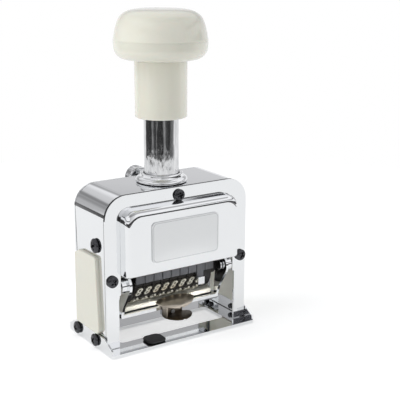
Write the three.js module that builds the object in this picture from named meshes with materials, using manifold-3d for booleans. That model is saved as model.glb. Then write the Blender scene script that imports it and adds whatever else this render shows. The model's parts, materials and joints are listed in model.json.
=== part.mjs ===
// Hand numbering machine, millimetres, +Z up, front towards -Y
import * as THREE from 'three';
import { mergeVertices } from 'three/addons/utils/BufferGeometryUtils.js';
import Module from 'manifold-3d';

const wasm = await Module();
wasm.setup();

// Shared clearances and rounding
const gap = 0.3;
const runGap = 0.4;
const blend = 0.02;
const weld = 1e-4;
const roundSegs = 40;
const boreSegs = 32;
const smallSegs = 20;
const cornerSegs = 8;

// Frame strap: one sheet bent over the top with two upright walls
const frameWidth = 72;
const coverFront = 14;
const coverThick = 1;
const strapHalfDepth = coverFront - coverThick - gap;
const strapThick = 1.2;
const frameHeight = 68.7;
const frameCorner = 10;
const halfWidth = frameWidth / 2;
const wallInner = halfWidth - strapThick;
const topUnder = frameHeight - strapThick;

// Base sheet with its window, cheeks and gussets
const cheekSpace = 1;
const baseWidth = frameWidth + cheekSpace * 2;
const baseDepth = 40.8;
const baseThick = 1.6;
const cheekThick = cheekSpace - gap;
const cheekTop = 6.8;
const gussetInset = 0.7;
const gussetStart = coverFront - gussetInset;
const gussetEnd = baseDepth / 2 - gussetInset;
const gussetEndTop = 3.4;
const baseCorner = 0.8;
const windowMargin = 8.7;
const windowHalfX = halfWidth - windowMargin;
const windowFront = -10.2;
const windowBack = 5.6;
const windowCorner = 2;
const legFoot = baseThick + gap;

// Front and back covers
const legWide = 7;
const legInner = halfWidth - legWide;
const legStep = 1;
const legStepDrop = 8.2;
const openingTop = 33.4;
const legStepZ = openingTop - legStepDrop;
const openingCorner = 2;
const backOpeningTop = 30;
const coverScrewZ = 32.2;
const coverScrewInset = 2.9;
const coverScrewX = halfWidth - coverScrewInset;
const topScrewDrop = 3.5;
const topScrewZ = frameHeight - topScrewDrop;
const panelSide = 7.1;
const panelHalfBase = halfWidth - panelSide;
const panelDrop = 5.9;
const panelBaseTop = frameHeight - panelDrop;
const panelBaseCorner = 6;
const panelProud = 5.5;
const panelFaceY = -coverFront - panelProud;
const panelSlopeSide = 2.1;
const panelSlopeTop = 2.9;
const panelSlopeBottom = 1.1;
const panelFaceHalf = panelHalfBase - panelSlopeSide;
const panelFaceTop = panelBaseTop - panelSlopeTop;
const panelFaceBottom = openingTop + panelSlopeBottom;
const panelFaceCorner = 4;
const panelWall = 1;
const panelShoulderShare = 0.62;
const panelRollShare = 0.92;
const panelRollInsetShare = 0.55;
const panelShoulderInsetShare = 0.2;

// Bare label plate
const labelSide = 9.95;
const labelUnder = 4.2;
const labelOver = 3.3;
const labelHalf = panelFaceHalf - labelSide;
const labelBottom = panelFaceBottom + labelUnder;
const labelTop = panelFaceTop - labelOver;
const labelCorner = 2;
const labelThick = 0.4;

// Domed screws
const coverHeadR = 2.6;
const sideHeadR = 3.2;
const cheekHeadR = 2.75;
const headRise = 1.5;
const headEdge = 0.5;
const headDomeShare = 0.92;
const screwShankR = 1.1;
const sideShankR = 1.1;
const lugDepth = 3.2;
const lugHalf = 2.6;
const lugLow = 2;
const coverShank = coverThick + gap + lugDepth - gap;
const cheekScrewBackInset = 1.4;
const cheekScrewFrontInset = 7.3;
const cheekScrewBack = strapHalfDepth - cheekScrewBackInset;
const cheekScrewFront = cheekScrewFrontInset - strapHalfDepth;
const cheekScrewZ = 3.9;

// Side plates that fill the windows of the walls
const plateFrontInset = 3.5;
const plateBackInset = 1;
const plateFront = plateFrontInset - strapHalfDepth;
const plateBack = strapHalfDepth - plateBackInset;
const plateFootCut = 1.7;
const plateFrontCut = 1.9;
const plateBackCut = 4.1;
const plateFoot = 7.2;
const plateFrontFoot = 9;
const plateBackTop = 39.3;
const plateSlopeTop = 41.4;
const plateFrontTop = 41.8;
const platePoints = [
  [plateFront, plateFrontFoot],
  [plateFront + plateFootCut, plateFoot],
  [plateBack, plateFoot],
  [plateBack, plateBackTop],
  [plateBack - plateBackCut, plateSlopeTop],
  [plateFront + plateFrontCut, plateFrontTop],
];
const plateProud = 1.7;
const plateInside = 0.6;

// Cross plate between the walls, spring seat and stop
const crossBottom = 44.4;
const crossTop = 48.4;
const crossHalfY = strapHalfDepth - lugDepth;
const sideScrewInset = 3.8;
const sideScrewY = sideScrewInset - crossHalfY;
const sideScrewZ = (crossBottom + crossTop) / 2;

// Collar round the tube
const collarR = 11.5;
const collarNeckR = 9.6;
const collarFlange = 1.9;
const collarHeight = 3.7;
const collarBase = frameHeight + gap;

// Plunger: tube, rod, knob
const tubeR = 7.6;
const tubeWall = 1.1;
const tubeEngaged = 4.3;
const tubeRise = 56.8;
const tubeBottom = frameHeight - tubeEngaged;
const tubeTop = frameHeight + tubeRise;
const keyHalf = 1.5;
const keyLength = 20.1;
const keyTop = tubeBottom + keyLength;
const plugDrop = 32;
const plugLength = 4;
const plugBottom = tubeTop - plugDrop;
const plugTop = plugBottom + plugLength;
const rodR = 3;
const rodEnd = 3.5;
const rodTop = plugTop + rodEnd;
const sleeveR = 11.35;
const sleeveDrop = 28.3;
const sleeveLength = 24.6;
const sleeveBottom = tubeTop - sleeveDrop;
const sleeveTop = sleeveBottom + sleeveLength;
const sleeveRim = 0.5;
const knobPartRise = 4.4;
const knobPart = tubeTop + knobPartRise;
const knobPartGap = gap;
const knobMaxR = 20.25;

// Knob outlines: radius, and height above or depth below the parting line
const capPoints = [
  [20.1, 1.1],
  [19.5, 4.3],
  [18.6, 7.4],
  [17.4, 9.7],
  [15.7, 11.2],
  [13.4, 12.3],
  [10, 12.9],
  [5.5, 13.15],
];
const capRise = 13.2;
const underPoints = [
  [20.15, 2.9],
  [19.6, 5],
  [18.2, 6.8],
  [16.4, 7.8],
  [14, 8],
];

// Carriage under the rod
const wheelY = -1;
const wheelZ = 25.5;
const typeR = 9.6;
const drumFlat = 8.7;
const wheelCount = 8;
const placeCount = wheelCount + 1;
const wheelsMargin = 15.885;
const wheelsHalf = halfWidth - wheelsMargin;
const wheelPitch = wheelsHalf * 2 / placeCount;
const wheelGap = 0.35;
const wheelBoreR = 2.9;
const shaftR = 2.5;
const digits = 10;
const armInner = wheelsHalf + runGap;
const armThick = 1.9;
const armOuter = armInner + armThick;
const armEyeR = 5.6;
const armHalf = 4.2;
const bridgeBottom = 37.6;
const bridgeTop = 40.8;
const bridgeFront = -10.4;
const bridgeBack = 6;
const bumperR = 5.4;
const nutR = 4.1;
const nutLength = 3.4;
const nutWaistR = 2.9;
const nutCapLength = 1.5;

// Comb of nine fingers in front of the wheels
const combThick = 0.8;
const combFront = bridgeFront - gap - combThick;
const combTop = 40.4;
const combSlotTop = 37.2;
const combBottom = 27.4;
const longFingerBottom = 23.9;
const combSlit = 0.45;

// Bright stop finger beside the numerals
const tabHalf = 1.7;
const tabInset = 7;
const tabX = wheelsHalf - tabInset;
const tabBottom = 21.4;
const tabTop = 24.9;
const tabThick = 0.7;

// Pawl frame swinging on the wheel shaft
const pawlDiscR = 9.2;
const pawlInner = wheelsHalf - wheelPitch + wheelGap / 2;
const pawlOuter = wheelsHalf - wheelGap / 2;
const pawlBarIn = 11.2;
const pawlBarOut = 12.9;
const pawlBarHalf = 1.6;
const pawlTipR = 10.35;
const pawlTipHalf = 0.6;
const pawlBarLeft = -wheelsHalf + wheelGap;
const pawlRest = -0.3;
const pawlArmRoot = 5;
const pawlTipWide = 1.6;

// Ink pad frame, pivoted on two studs behind the cover legs
const pivotInset = 3;
const pivotY = pivotInset - coverFront;
const pivotZ = 28.2;
const studR = 1.2;
const studReach = 11.9;
const studEnd = halfWidth - studReach;
const studFlangeR = 1.6;
const studFlange = 0.8;
const studHeadR = 2.1;
const studHead = 0.8;
const eyeR = 3.4;
const eyeBoreR = studR + gap;
const eyeMargin = 7.6;
const eyeOuter = halfWidth - eyeMargin;
const armPlate = 1.2;
const bailMargin = 10.4;
const bailHalf = halfWidth - bailMargin;
const eyeInner = bailHalf - armPlate;
const lipY = -6.9;
const lipHalf = 0.9;
const lipBottom = 11.6;
const lipTop = 13;
const lipLugBottom = 8.8;
const lipLugHalf = 4.8;
const armTopR = 4.8;
const armFrontShares = [0.94, 0.34];
const armRearShares = [0.85, 0.5];
const kneeStep = 2.7;
const kneeRise = 4.6;
const bailFloorTop = 12.5;
const bailBack = 4.4;
const padMargin = 2;
const padHalf = bailHalf - padMargin;
const padTop = wheelZ - typeR - gap * 2;
const padBottom = 14.2;
const trayTop = padBottom - gap;
const trayBottom = bailFloorTop + gap;
const trayFront = lipY + lipHalf + gap;
const trayBack = bailBack;
const padInset = 0.25;
const padRadius = 1;

// Two-leaf finger clip of the ink pad
const clipWallY = lipY - lipHalf - gap;
const clipWebDepth = 4.2;
const upperLeafMidY = -9.6;
const upperLeafRootHalf = 7;
const lowerLeafMidY = -9.6;
const lowerLeafShift = 1.6;
const leafSteps = 14;
const clipThick = 0.6;
const clipWallHalf = 5.2;
const clipWallBottom = 8.6;
const upperLeafHalf = 9.8;
const upperLeafFront = -16;
const upperLeafFrontZ = 14.2;
const upperLeafBackZ = 17.2;
const lowerLeafHalf = 7;
const lowerLeafFront = -16.2;
const lowerLeafZ = 8.1;
const lowerLeafBackZ = 8.9;
const rivetR = 0.5;
const rivetHeadR = 0.95;
const rivetHead = 0.4;
const rivetDepth = 1.1;
const rivetLow = 10.1;
const rivetHigh = 12.6;

// Black buffer set on the front bar
const bufferInset = 13.7;
const bufferX = bufferInset - windowHalfX;
const bufferHalfX = 4.4;
const bufferMargin = 0.8;
const bufferFront = bufferMargin - baseDepth / 2;
const bufferSet = 1;
const bufferBack = windowFront - bufferSet;
const bufferRise = 0.9;
const bufferCornerShare = 0.31;
const bufferCorner = (bufferBack - bufferFront) * bufferCornerShare;

// Lock button behind the top
const lockDrop = 2.8;
const lockZ = frameHeight - lockDrop;
const lockPinR = 1.1;
const lockPinReach = 5.7;
const lockPinTip = coverFront - lockPinReach;
const lockKnobR = 5.2;
const lockKnobStand = 4.9;
const lockKnobLength = 5.3;
const lockKnobFront = coverFront + lockKnobStand;
const lockKnobBack = lockKnobFront + lockKnobLength;
const lockKnobEdge = 0.9;
const lockGrooves = 24;
const lockGrooveDepth = 0.22;
const bushR = 3.4;
const bushLength = 2.2;
const bushEnd = coverFront + bushLength;

// Main spring inside the tube
const springR = 4.75;
const springWire = 1.1;
const springCurls = 12;
const springSteps = 8;
const springSides = 5;
const springEndShare = 0.02;

// The origin lies under the middle of the whole, so the pieces shift by half the overhang of the lock knob
const originShift = (baseDepth / 2 - lockKnobBack) / 2;

const group = new THREE.Group();
group.name = 'numbering_machine';

const finishes = {
  chrome: [0xd9dcdf, 0.12, 0.95],
  chromeSatin: [0xc4c8cc, 0.28, 0.9],
  ivory: [0xe6e3d4, 0.42, 0.0],
  blackScrew: [0x26262a, 0.35, 0.6],
  blackSteel: [0x2b2a2b, 0.4, 0.7],
  bluedComb: [0x47474c, 0.5, 0.5],
  typeWheel: [0x33302e, 0.35, 0.8],
  steel: [0x8f9296, 0.35, 0.9],
  spring: [0x8a8d92, 0.3, 0.9],
  bronze: [0x6d6152, 0.3, 0.85],
  padFelt: [0xe8d9c4, 0.9, 0.0],
  rubber: [0x1f1f21, 0.8, 0.0],
  label: [0xeef0f1, 0.35, 0.0],
};

function solidOf(geometry) {
  const bare = geometry.clone();
  bare.deleteAttribute('normal');
  bare.deleteAttribute('uv');
  const merged = mergeVertices(bare, weld);
  const pos = merged.attributes.position;
  const tri = Uint32Array.from(merged.index.array);
  const a = new THREE.Vector3();
  const b = new THREE.Vector3();
  const c = new THREE.Vector3();
  let volume = 0;
  for (let i = 0; i < tri.length; i += 3) {
    a.fromBufferAttribute(pos, tri[i]);
    b.fromBufferAttribute(pos, tri[i + 1]);
    c.fromBufferAttribute(pos, tri[i + 2]);
    volume += a.dot(b.cross(c));
  }
  if (volume < 0) {
    for (let i = 0; i < tri.length; i += 3) {
      const keep = tri[i];
      tri[i] = tri[i + 1];
      tri[i + 1] = keep;
    }
  }
  const mesh = new wasm.Mesh({
    numProp: 3,
    vertProperties: Float32Array.from(pos.array),
    triVerts: tri,
  });
  return new wasm.Manifold(mesh);
}

function geometryOf(body) {
  const mesh = body.getMesh();
  const geometry = new THREE.BufferGeometry();
  const points = [];
  for (let i = 0; i < mesh.vertProperties.length; i += mesh.numProp) {
    points.push(mesh.vertProperties[i], mesh.vertProperties[i + 1], mesh.vertProperties[i + 2]);
  }
  geometry.setAttribute('position', new THREE.Float32BufferAttribute(points, 3));
  geometry.setIndex(Array.from(mesh.triVerts));
  return geometry;
}

function addPiece(name, body, finish) {
  const raw = body instanceof THREE.BufferGeometry ? body : geometryOf(body);
  const geometry = raw.index ? raw.toNonIndexed() : raw.clone();
  geometry.translate(0, originShift, 0);
  geometry.deleteAttribute('normal');
  geometry.deleteAttribute('uv');
  geometry.computeVertexNormals();
  const [color, roughness, metalness] = finishes[finish];
  const material = new THREE.MeshStandardMaterial({ color, roughness, metalness });
  material.name = finish;
  const mesh = new THREE.Mesh(geometry, material);
  mesh.name = name;
  group.add(mesh);
  return mesh;
}

// Outline helpers
function outline(points) {
  return new THREE.Shape(points.map(([u, v]) => new THREE.Vector2(u, v)));
}

function roundedPoints(u0, v0, u1, v1, radii, segs = cornerSegs) {
  const [rBottomRight, rTopRight, rTopLeft, rBottomLeft] = radii;
  const corners = [
    [u1 - rBottomRight, v0 + rBottomRight, rBottomRight, -Math.PI / 2],
    [u1 - rTopRight, v1 - rTopRight, rTopRight, 0],
    [u0 + rTopLeft, v1 - rTopLeft, rTopLeft, Math.PI / 2],
    [u0 + rBottomLeft, v0 + rBottomLeft, rBottomLeft, Math.PI],
  ];
  const points = [];
  for (const [cu, cv, r, start] of corners) {
    const steps = r > 0 ? segs : 0;
    for (let i = 0; i <= steps; i += 1) {
      const turn = start + (steps ? (i / steps) * Math.PI / 2 : 0);
      points.push([cu + r * Math.cos(turn), cv + r * Math.sin(turn)]);
    }
  }
  return points;
}

function prismZ(points, z0, z1) {
  const geometry = new THREE.ExtrudeGeometry(outline(points), { depth: z1 - z0, bevelEnabled: false });
  geometry.translate(0, 0, z0);
  return solidOf(geometry);
}

function prismY(points, y0, y1) {
  const geometry = new THREE.ExtrudeGeometry(outline(points), { depth: y1 - y0, bevelEnabled: false });
  geometry.rotateX(Math.PI / 2);
  geometry.translate(0, y1, 0);
  return solidOf(geometry);
}

function prismX(points, x0, x1) {
  const geometry = new THREE.ExtrudeGeometry(outline(points), { depth: x1 - x0, bevelEnabled: false });
  const turn = new THREE.Matrix4().makeBasis(
    new THREE.Vector3(0, 1, 0),
    new THREE.Vector3(0, 0, 1),
    new THREE.Vector3(1, 0, 0),
  );
  geometry.applyMatrix4(turn);
  geometry.translate(x0, 0, 0);
  return solidOf(geometry);
}

function box(x0, x1, y0, y1, z0, z1) {
  return prismZ([[x0, y0], [x1, y0], [x1, y1], [x0, y1]], z0, z1);
}

function rodX(r, x0, x1, y, z, segs = boreSegs) {
  const geometry = new THREE.CylinderGeometry(r, r, x1 - x0, segs);
  geometry.rotateZ(Math.PI / 2);
  geometry.translate((x0 + x1) / 2, y, z);
  return solidOf(geometry);
}

function rodY(r, y0, y1, x, z, segs = boreSegs) {
  const geometry = new THREE.CylinderGeometry(r, r, y1 - y0, segs);
  geometry.translate(x, (y0 + y1) / 2, z);
  return solidOf(geometry);
}

function rodZ(r, z0, z1, x, y, segs = boreSegs) {
  const geometry = new THREE.CylinderGeometry(r, r, z1 - z0, segs);
  geometry.rotateX(Math.PI / 2);
  geometry.translate(x, y, (z0 + z1) / 2);
  return solidOf(geometry);
}

function latheZ(profile, segs = roundSegs) {
  const points = profile.map(([r, z]) => new THREE.Vector2(r, z));
  const geometry = new THREE.LatheGeometry(points, segs);
  geometry.rotateX(Math.PI / 2);
  return geometry;
}

function joined(list) {
  let body = list[0];
  for (let i = 1; i < list.length; i += 1) body = body.add(list[i]);
  return body;
}

function without(body, cuts) {
  let left = body;
  for (const cut of cuts) left = left.subtract(cut);
  return left;
}

// Solid between outlines of equal count that lie in planes of constant Y
function loftY(sections) {
  const count = sections[0].points.length;
  const positions = [];
  const index = [];
  sections.forEach(({ y, points }) => points.forEach(([u, v]) => positions.push(u, y, v)));
  for (let s = 0; s + 1 < sections.length; s += 1) {
    for (let i = 0; i < count; i += 1) {
      const j = (i + 1) % count;
      const a = s * count + i;
      const b = s * count + j;
      const c = a + count;
      const d = b + count;
      index.push(a, b, c, b, d, c);
    }
  }
  const last = (sections.length - 1) * count;
  for (let i = 1; i + 1 < count; i += 1) {
    index.push(0, i + 1, i);
    index.push(last, last + i, last + i + 1);
  }
  const geometry = new THREE.BufferGeometry();
  geometry.setAttribute('position', new THREE.Float32BufferAttribute(positions, 3));
  geometry.setIndex(index);
  return solidOf(geometry);
}

// Domed screw along an axis: direction gives the side the head looks to
function screw(name, headR, shankR, shankLength, seat, direction) {
  const profile = [
    [0, -shankLength],
    [shankR, -shankLength],
    [shankR, 0],
    [headR, 0],
    [headR, headEdge],
    [headR * Math.cos(Math.PI / 6), headEdge + (headRise - headEdge) / 2],
    [headR / 2, headRise * headDomeShare],
    [0, headRise],
  ];
  const geometry = latheZ(profile, smallSegs);
  const turn = new THREE.Quaternion().setFromUnitVectors(
    new THREE.Vector3(0, 0, 1),
    new THREE.Vector3(...direction),
  );
  geometry.applyQuaternion(turn);
  geometry.translate(...seat);
  addPiece(name, solidOf(geometry), 'blackScrew');
}

const hoop = (inset, bottom) => roundedPoints(
  -halfWidth + inset,
  bottom,
  halfWidth - inset,
  frameHeight - inset,
  [0, frameCorner - inset, frameCorner - inset, 0],
);

// Frame strap with lugs, side windows and screw holes
{
  const outer = prismY(hoop(0, legFoot), -strapHalfDepth, strapHalfDepth);
  const inner = prismY(hoop(strapThick, legFoot - baseThick), -coverFront, coverFront);
  let strap = outer.subtract(inner);
  for (const side of [-1, 1]) {
    const face = side * strapHalfDepth;
    const deep = side * (strapHalfDepth - lugDepth);
    const y0 = Math.min(face, deep);
    const y1 = Math.max(face, deep);
    const lugBottom = topScrewZ - lugHalf + gap;
    strap = strap.add(box(-lugHalf, lugHalf, y0, y1, lugBottom, frameHeight - strapThick / 2));
    for (const wall of [-1, 1]) {
      const near = wall * (coverScrewX - lugHalf + gap);
      const far = wall * (halfWidth - strapThick / 2);
      const lug = box(
        Math.min(near, far),
        Math.max(near, far),
        y0,
        y1,
        coverScrewZ - lugLow,
        coverScrewZ + lugHalf,
      );
      strap = strap.add(lug);
      strap = strap.subtract(
        rodY(screwShankR + gap, y0 - gap, y1 + gap, wall * coverScrewX, coverScrewZ, smallSegs),
      );
    }
    const topHole = side < 0 ? topScrewZ : lockZ;
    strap = strap.subtract(rodY(screwShankR + gap, y0 - gap, y1 + gap, 0, topHole, smallSegs));
  }
  strap = strap.subtract(rodZ(tubeR + runGap, topUnder - gap, frameHeight + gap, 0, 0, roundSegs));
  const windowPoints = platePoints.map(([y, z]) => {
    const middleY = (platePoints[0][0] + platePoints[2][0]) / 2;
    const middleZ = (platePoints[1][1] + platePoints[5][1]) / 2;
    return [y + Math.sign(y - middleY) * gap, z + Math.sign(z - middleZ) * gap];
  });
  strap = strap.subtract(prismX(windowPoints, -halfWidth - gap, halfWidth + gap));
  strap = strap.subtract(rodX(sideShankR + gap, -halfWidth - gap, halfWidth + gap, sideScrewY, sideScrewZ));
  for (const y of [cheekScrewFront, cheekScrewBack]) {
    strap = strap.subtract(
      rodX(screwShankR + gap, -halfWidth - gap, halfWidth + gap, y, cheekScrewZ, smallSegs),
    );
  }
  addPiece('frame_strap', strap, 'chrome');
}

// Base: sheet, window, upright cheeks with sloping gussets
{
  const sheet = roundedPoints(
    -baseWidth / 2,
    -baseDepth / 2,
    baseWidth / 2,
    baseDepth / 2,
    [baseCorner, baseCorner, baseCorner, baseCorner],
  );
  let base = prismZ(sheet, 0, baseThick);
  const opening = roundedPoints(
    -windowHalfX,
    windowFront,
    windowHalfX,
    windowBack,
    [windowCorner, windowCorner, windowCorner, windowCorner],
  );
  base = base.subtract(prismZ(opening, -gap, baseThick + gap));
  const cheek = [
    [-gussetEnd, baseThick / 2],
    [gussetEnd, baseThick / 2],
    [gussetEnd, gussetEndTop],
    [gussetStart, cheekTop],
    [-gussetStart, cheekTop],
    [-gussetEnd, gussetEndTop],
  ];
  base = base.add(prismX(cheek, baseWidth / 2 - cheekThick, baseWidth / 2));
  base = base.add(prismX(cheek, -baseWidth / 2, -baseWidth / 2 + cheekThick));
  for (const y of [cheekScrewFront, cheekScrewBack]) {
    base = base.subtract(
      rodX(screwShankR + gap, -baseWidth, baseWidth, y, cheekScrewZ, smallSegs),
    );
  }
  addPiece('base_plate', base, 'chrome');
}

// Front cover with the raised hollow panel
const coverPoints = () => hoop(0, legFoot);
{
  let cover = prismY(coverPoints(), -coverFront, -coverFront + coverThick);
  const inset = (share) => ({
    half: panelHalfBase + (panelFaceHalf - panelHalfBase) * share,
    top: panelBaseTop + (panelFaceTop - panelBaseTop) * share,
    bottom: openingTop + (panelFaceBottom - openingTop) * share,
    corner: panelBaseCorner + (panelFaceCorner - panelBaseCorner) * share,
  });
  const section = (depth, share, wall) => {
    const at = inset(share);
    const r = at.corner - wall;
    return {
      y: -coverFront - depth,
      points: roundedPoints(-at.half + wall, at.bottom + wall, at.half - wall, at.top - wall, [r, r, r, r]),
    };
  };
  const levels = [
    [-coverThick / 2, 0],
    [panelProud * panelShoulderShare, panelShoulderInsetShare],
    [panelProud * panelRollShare, panelRollInsetShare],
    [panelProud, 1],
  ];
  const shell = loftY(levels.map(([depth, share]) => section(depth, share, 0)));
  const hollow = loftY([
    section(-coverThick - gap, 0, panelWall),
    section(panelProud * panelShoulderShare - panelWall, panelShoulderInsetShare, panelWall),
    section(panelProud * panelRollShare - panelWall, panelRollInsetShare, panelWall),
    section(panelProud - panelWall, 1, panelWall),
  ]);
  cover = cover.add(shell).subtract(hollow);
  const opening = roundedPoints(
    -legInner,
    0,
    legInner,
    openingTop,
    [0, openingCorner, openingCorner, 0],
  );
  cover = cover.subtract(prismY(opening, -coverFront - gap, -coverFront + coverThick + gap));
  const legGap = legInner + legStep;
  cover = cover.subtract(
    box(-legGap, legGap, -coverFront - gap, -coverFront + coverThick + gap, 0, legStepZ),
  );
  const holes = [[0, topScrewZ], [-coverScrewX, coverScrewZ], [coverScrewX, coverScrewZ]];
  for (const [x, z] of holes) {
    cover = cover.subtract(
      rodY(screwShankR + gap, -coverFront - gap, -coverFront + coverThick + gap, x, z, smallSegs),
    );
  }
  addPiece('front_cover', cover, 'chrome');
}

// Back cover: plain plate with the lock hole
{
  let cover = prismY(coverPoints(), coverFront - coverThick, coverFront);
  const opening = roundedPoints(
    -legInner,
    0,
    legInner,
    backOpeningTop,
    [0, openingCorner, openingCorner, 0],
  );
  cover = cover.subtract(prismY(opening, coverFront - coverThick - gap, coverFront + gap));
  const holes = [[-coverScrewX, coverScrewZ], [coverScrewX, coverScrewZ]];
  for (const [x, z] of holes) {
    cover = cover.subtract(
      rodY(screwShankR + gap, coverFront - coverThick - gap, coverFront + gap, x, z, smallSegs),
    );
  }
  cover = cover.subtract(
    rodY(lockPinR + gap, coverFront - coverThick - gap, coverFront + gap, 0, lockZ, smallSegs),
  );
  addPiece('back_cover', cover, 'chrome');
}

// Bare label plate on the panel face
{
  const r = labelCorner;
  const points = roundedPoints(-labelHalf, labelBottom, labelHalf, labelTop, [r, r, r, r]);
  addPiece('label_plate', prismY(points, panelFaceY - gap - labelThick, panelFaceY - gap), 'label');
}

// Screws of covers, walls and cheeks
{
  const front = [0, -1, 0];
  const back = [0, 1, 0];
  const frontSeat = -coverFront - gap;
  const backSeat = coverFront + gap;
  const coverScrew = (tag, x, z, y, way) => (
    screw(`screw_${tag}`, coverHeadR, screwShankR, coverShank, [x, y, z], way)
  );
  coverScrew('front_top', 0, topScrewZ, frontSeat, front);
  coverScrew('front_left', -coverScrewX, coverScrewZ, frontSeat, front);
  coverScrew('front_right', coverScrewX, coverScrewZ, frontSeat, front);
  coverScrew('back_left', -coverScrewX, coverScrewZ, backSeat, back);
  coverScrew('back_right', coverScrewX, coverScrewZ, backSeat, back);
  const sideShank = strapThick + gap + gap + lugDepth - gap;
  const cheekShank = cheekThick + gap + gap + strapThick + gap;
  for (const [tag, side] of [['left', -1], ['right', 1]]) {
    const out = [side, 0, 0];
    const wall = side * (halfWidth + gap);
    const cheek = side * (baseWidth / 2 + gap);
    screw(`screw_side_${tag}`, sideHeadR, sideShankR, sideShank, [wall, sideScrewY, sideScrewZ], out);
    for (const [place, y] of [['front', cheekScrewFront], ['back', cheekScrewBack]]) {
      const seat = [cheek, y, cheekScrewZ];
      screw(`screw_cheek_${tag}_${place}`, cheekHeadR, screwShankR, cheekShank, seat, out);
    }
  }
}

// Side plates
for (const [tag, side] of [['left', -1], ['right', 1]]) {
  const outer = side * (halfWidth + plateProud);
  const inner = side * (wallInner - plateInside);
  const plate = prismX(platePoints, Math.min(outer, inner), Math.max(outer, inner));
  addPiece(`side_plate_${tag}`, plate, 'ivory');
}

// Cross plate with the rod bore and the screw holes in its ends
{
  const half = wallInner - gap;
  let plate = box(-half, half, -crossHalfY, crossHalfY, crossBottom, crossTop);
  plate = plate.subtract(rodZ(rodR + gap, crossBottom - gap, crossTop + gap, 0, 0));
  const deep = half - lugDepth - gap;
  for (const [x0, x1] of [[deep, half + gap], [-half - gap, -deep]]) {
    plate = plate.subtract(rodX(sideShankR + gap, x0, x1, sideScrewY, sideScrewZ, smallSegs));
  }
  addPiece('cross_plate', plate, 'steel');
}

// Stepped collar on the top
{
  const bore = tubeR + runGap;
  const profile = [
    [bore, collarBase],
    [collarR - blend, collarBase],
    [collarR, collarBase + collarFlange / 4],
    [collarR - collarFlange / 6, collarBase + collarFlange * 3 / 4],
    [collarR - collarFlange / 2, collarBase + collarFlange],
    [collarNeckR, collarBase + collarFlange + gap],
    [collarNeckR - gap, collarBase + collarHeight - gap],
    [collarNeckR - gap - gap, collarBase + collarHeight],
    [bore, collarBase + collarHeight],
    [bore, collarBase],
  ];
  addPiece('top_collar', solidOf(latheZ(profile)), 'chrome');
}

// Plunger tube with its keyway, inner plug and rod
{
  const bore = tubeR - tubeWall;
  const tube = rodZ(tubeR, tubeBottom, tubeTop, 0, 0, roundSegs)
    .subtract(rodZ(bore, tubeBottom - gap, tubeTop + gap, 0, 0, roundSegs))
    .subtract(box(-keyHalf, keyHalf, 0, tubeR + gap, tubeBottom - gap, keyTop));
  addPiece('plunger_tube', tube, 'chrome');
  const plug = rodZ(bore - gap, plugBottom, plugTop, 0, 0)
    .subtract(rodZ(rodR + gap, plugBottom - gap, plugTop + gap, 0, 0));
  addPiece('tube_plug', plug, 'steel');
  addPiece('plunger_rod', rodZ(rodR, bridgeBottom, rodTop, 0, 0), 'steel');
}

// Knob: sleeve with the underside in one piece, domed cap above the parting line
{
  const bore = tubeR + gap;
  const seam = knobPart - knobPartGap / 2;
  const lower = [
    [0, tubeTop + gap],
    [bore, tubeTop + gap],
    [bore, sleeveBottom],
    [sleeveR - sleeveRim / 2, sleeveBottom],
    [sleeveR + blend, sleeveBottom + sleeveRim],
    [sleeveR, sleeveTop],
    ...underPoints.map(([r, depth]) => [r, knobPart - depth]).reverse(),
    [knobMaxR, seam],
    [0, seam],
  ];
  addPiece('knob_sleeve', solidOf(latheZ(lower)), 'ivory');
  const upper = [
    [0, knobPart + knobPartGap / 2],
    [knobMaxR, knobPart + knobPartGap / 2],
    ...capPoints.map(([r, rise]) => [r, knobPart + rise]),
    [0, knobPart + capRise],
  ];
  addPiece('knob_cap', solidOf(latheZ(upper)), 'ivory');
}

// Carriage: bridge, two arms with eyes, bumper, shaft and nuts
{
  const bridge = box(-armOuter, armOuter, bridgeFront, bridgeBack, bridgeBottom, bridgeTop)
    .subtract(rodZ(rodR + gap, bridgeBottom - gap, bridgeTop + gap, 0, 0));
  const parts = [bridge];
  for (const [x0, x1] of [[armInner, armOuter], [-armOuter, -armInner]]) {
    parts.push(box(x0, x1, wheelY - armHalf, wheelY + armHalf, wheelZ, bridgeTop - gap));
    parts.push(rodX(armEyeR, x0, x1, wheelY, wheelZ));
  }
  const yoke = joined(parts).subtract(rodX(shaftR + gap, -baseWidth, baseWidth, wheelY, wheelZ));
  addPiece('carriage_yoke', yoke, 'blackSteel');
  const bumper = rodZ(bumperR, bridgeTop + gap, crossBottom - gap, 0, 0)
    .subtract(rodZ(rodR + gap, bridgeTop, crossBottom, 0, 0));
  addPiece('rod_bumper', bumper, 'rubber');
  const shaftHalf = armOuter + gap + nutLength / 2;
  addPiece('wheel_shaft', rodX(shaftR, -shaftHalf, shaftHalf, wheelY, wheelZ), 'steel');
  for (const [tag, side] of [['left', -1], ['right', 1]]) {
    const near = side * (armOuter + gap);
    const mid = near + side * nutLength;
    const far = mid + side * nutCapLength;
    const open = near - side * gap;
    const stop = side * (shaftHalf + gap);
    const nut = joined([
      rodX(nutR, Math.min(near, mid), Math.max(near, mid), wheelY, wheelZ, smallSegs),
      rodX(nutWaistR, Math.min(near, far), Math.max(near, far), wheelY, wheelZ, smallSegs),
    ]).subtract(rodX(shaftR + gap, Math.min(open, stop), Math.max(open, stop), wheelY, wheelZ));
    addPiece(`shaft_nut_${tag}`, nut, 'blackSteel');
  }
}

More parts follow.
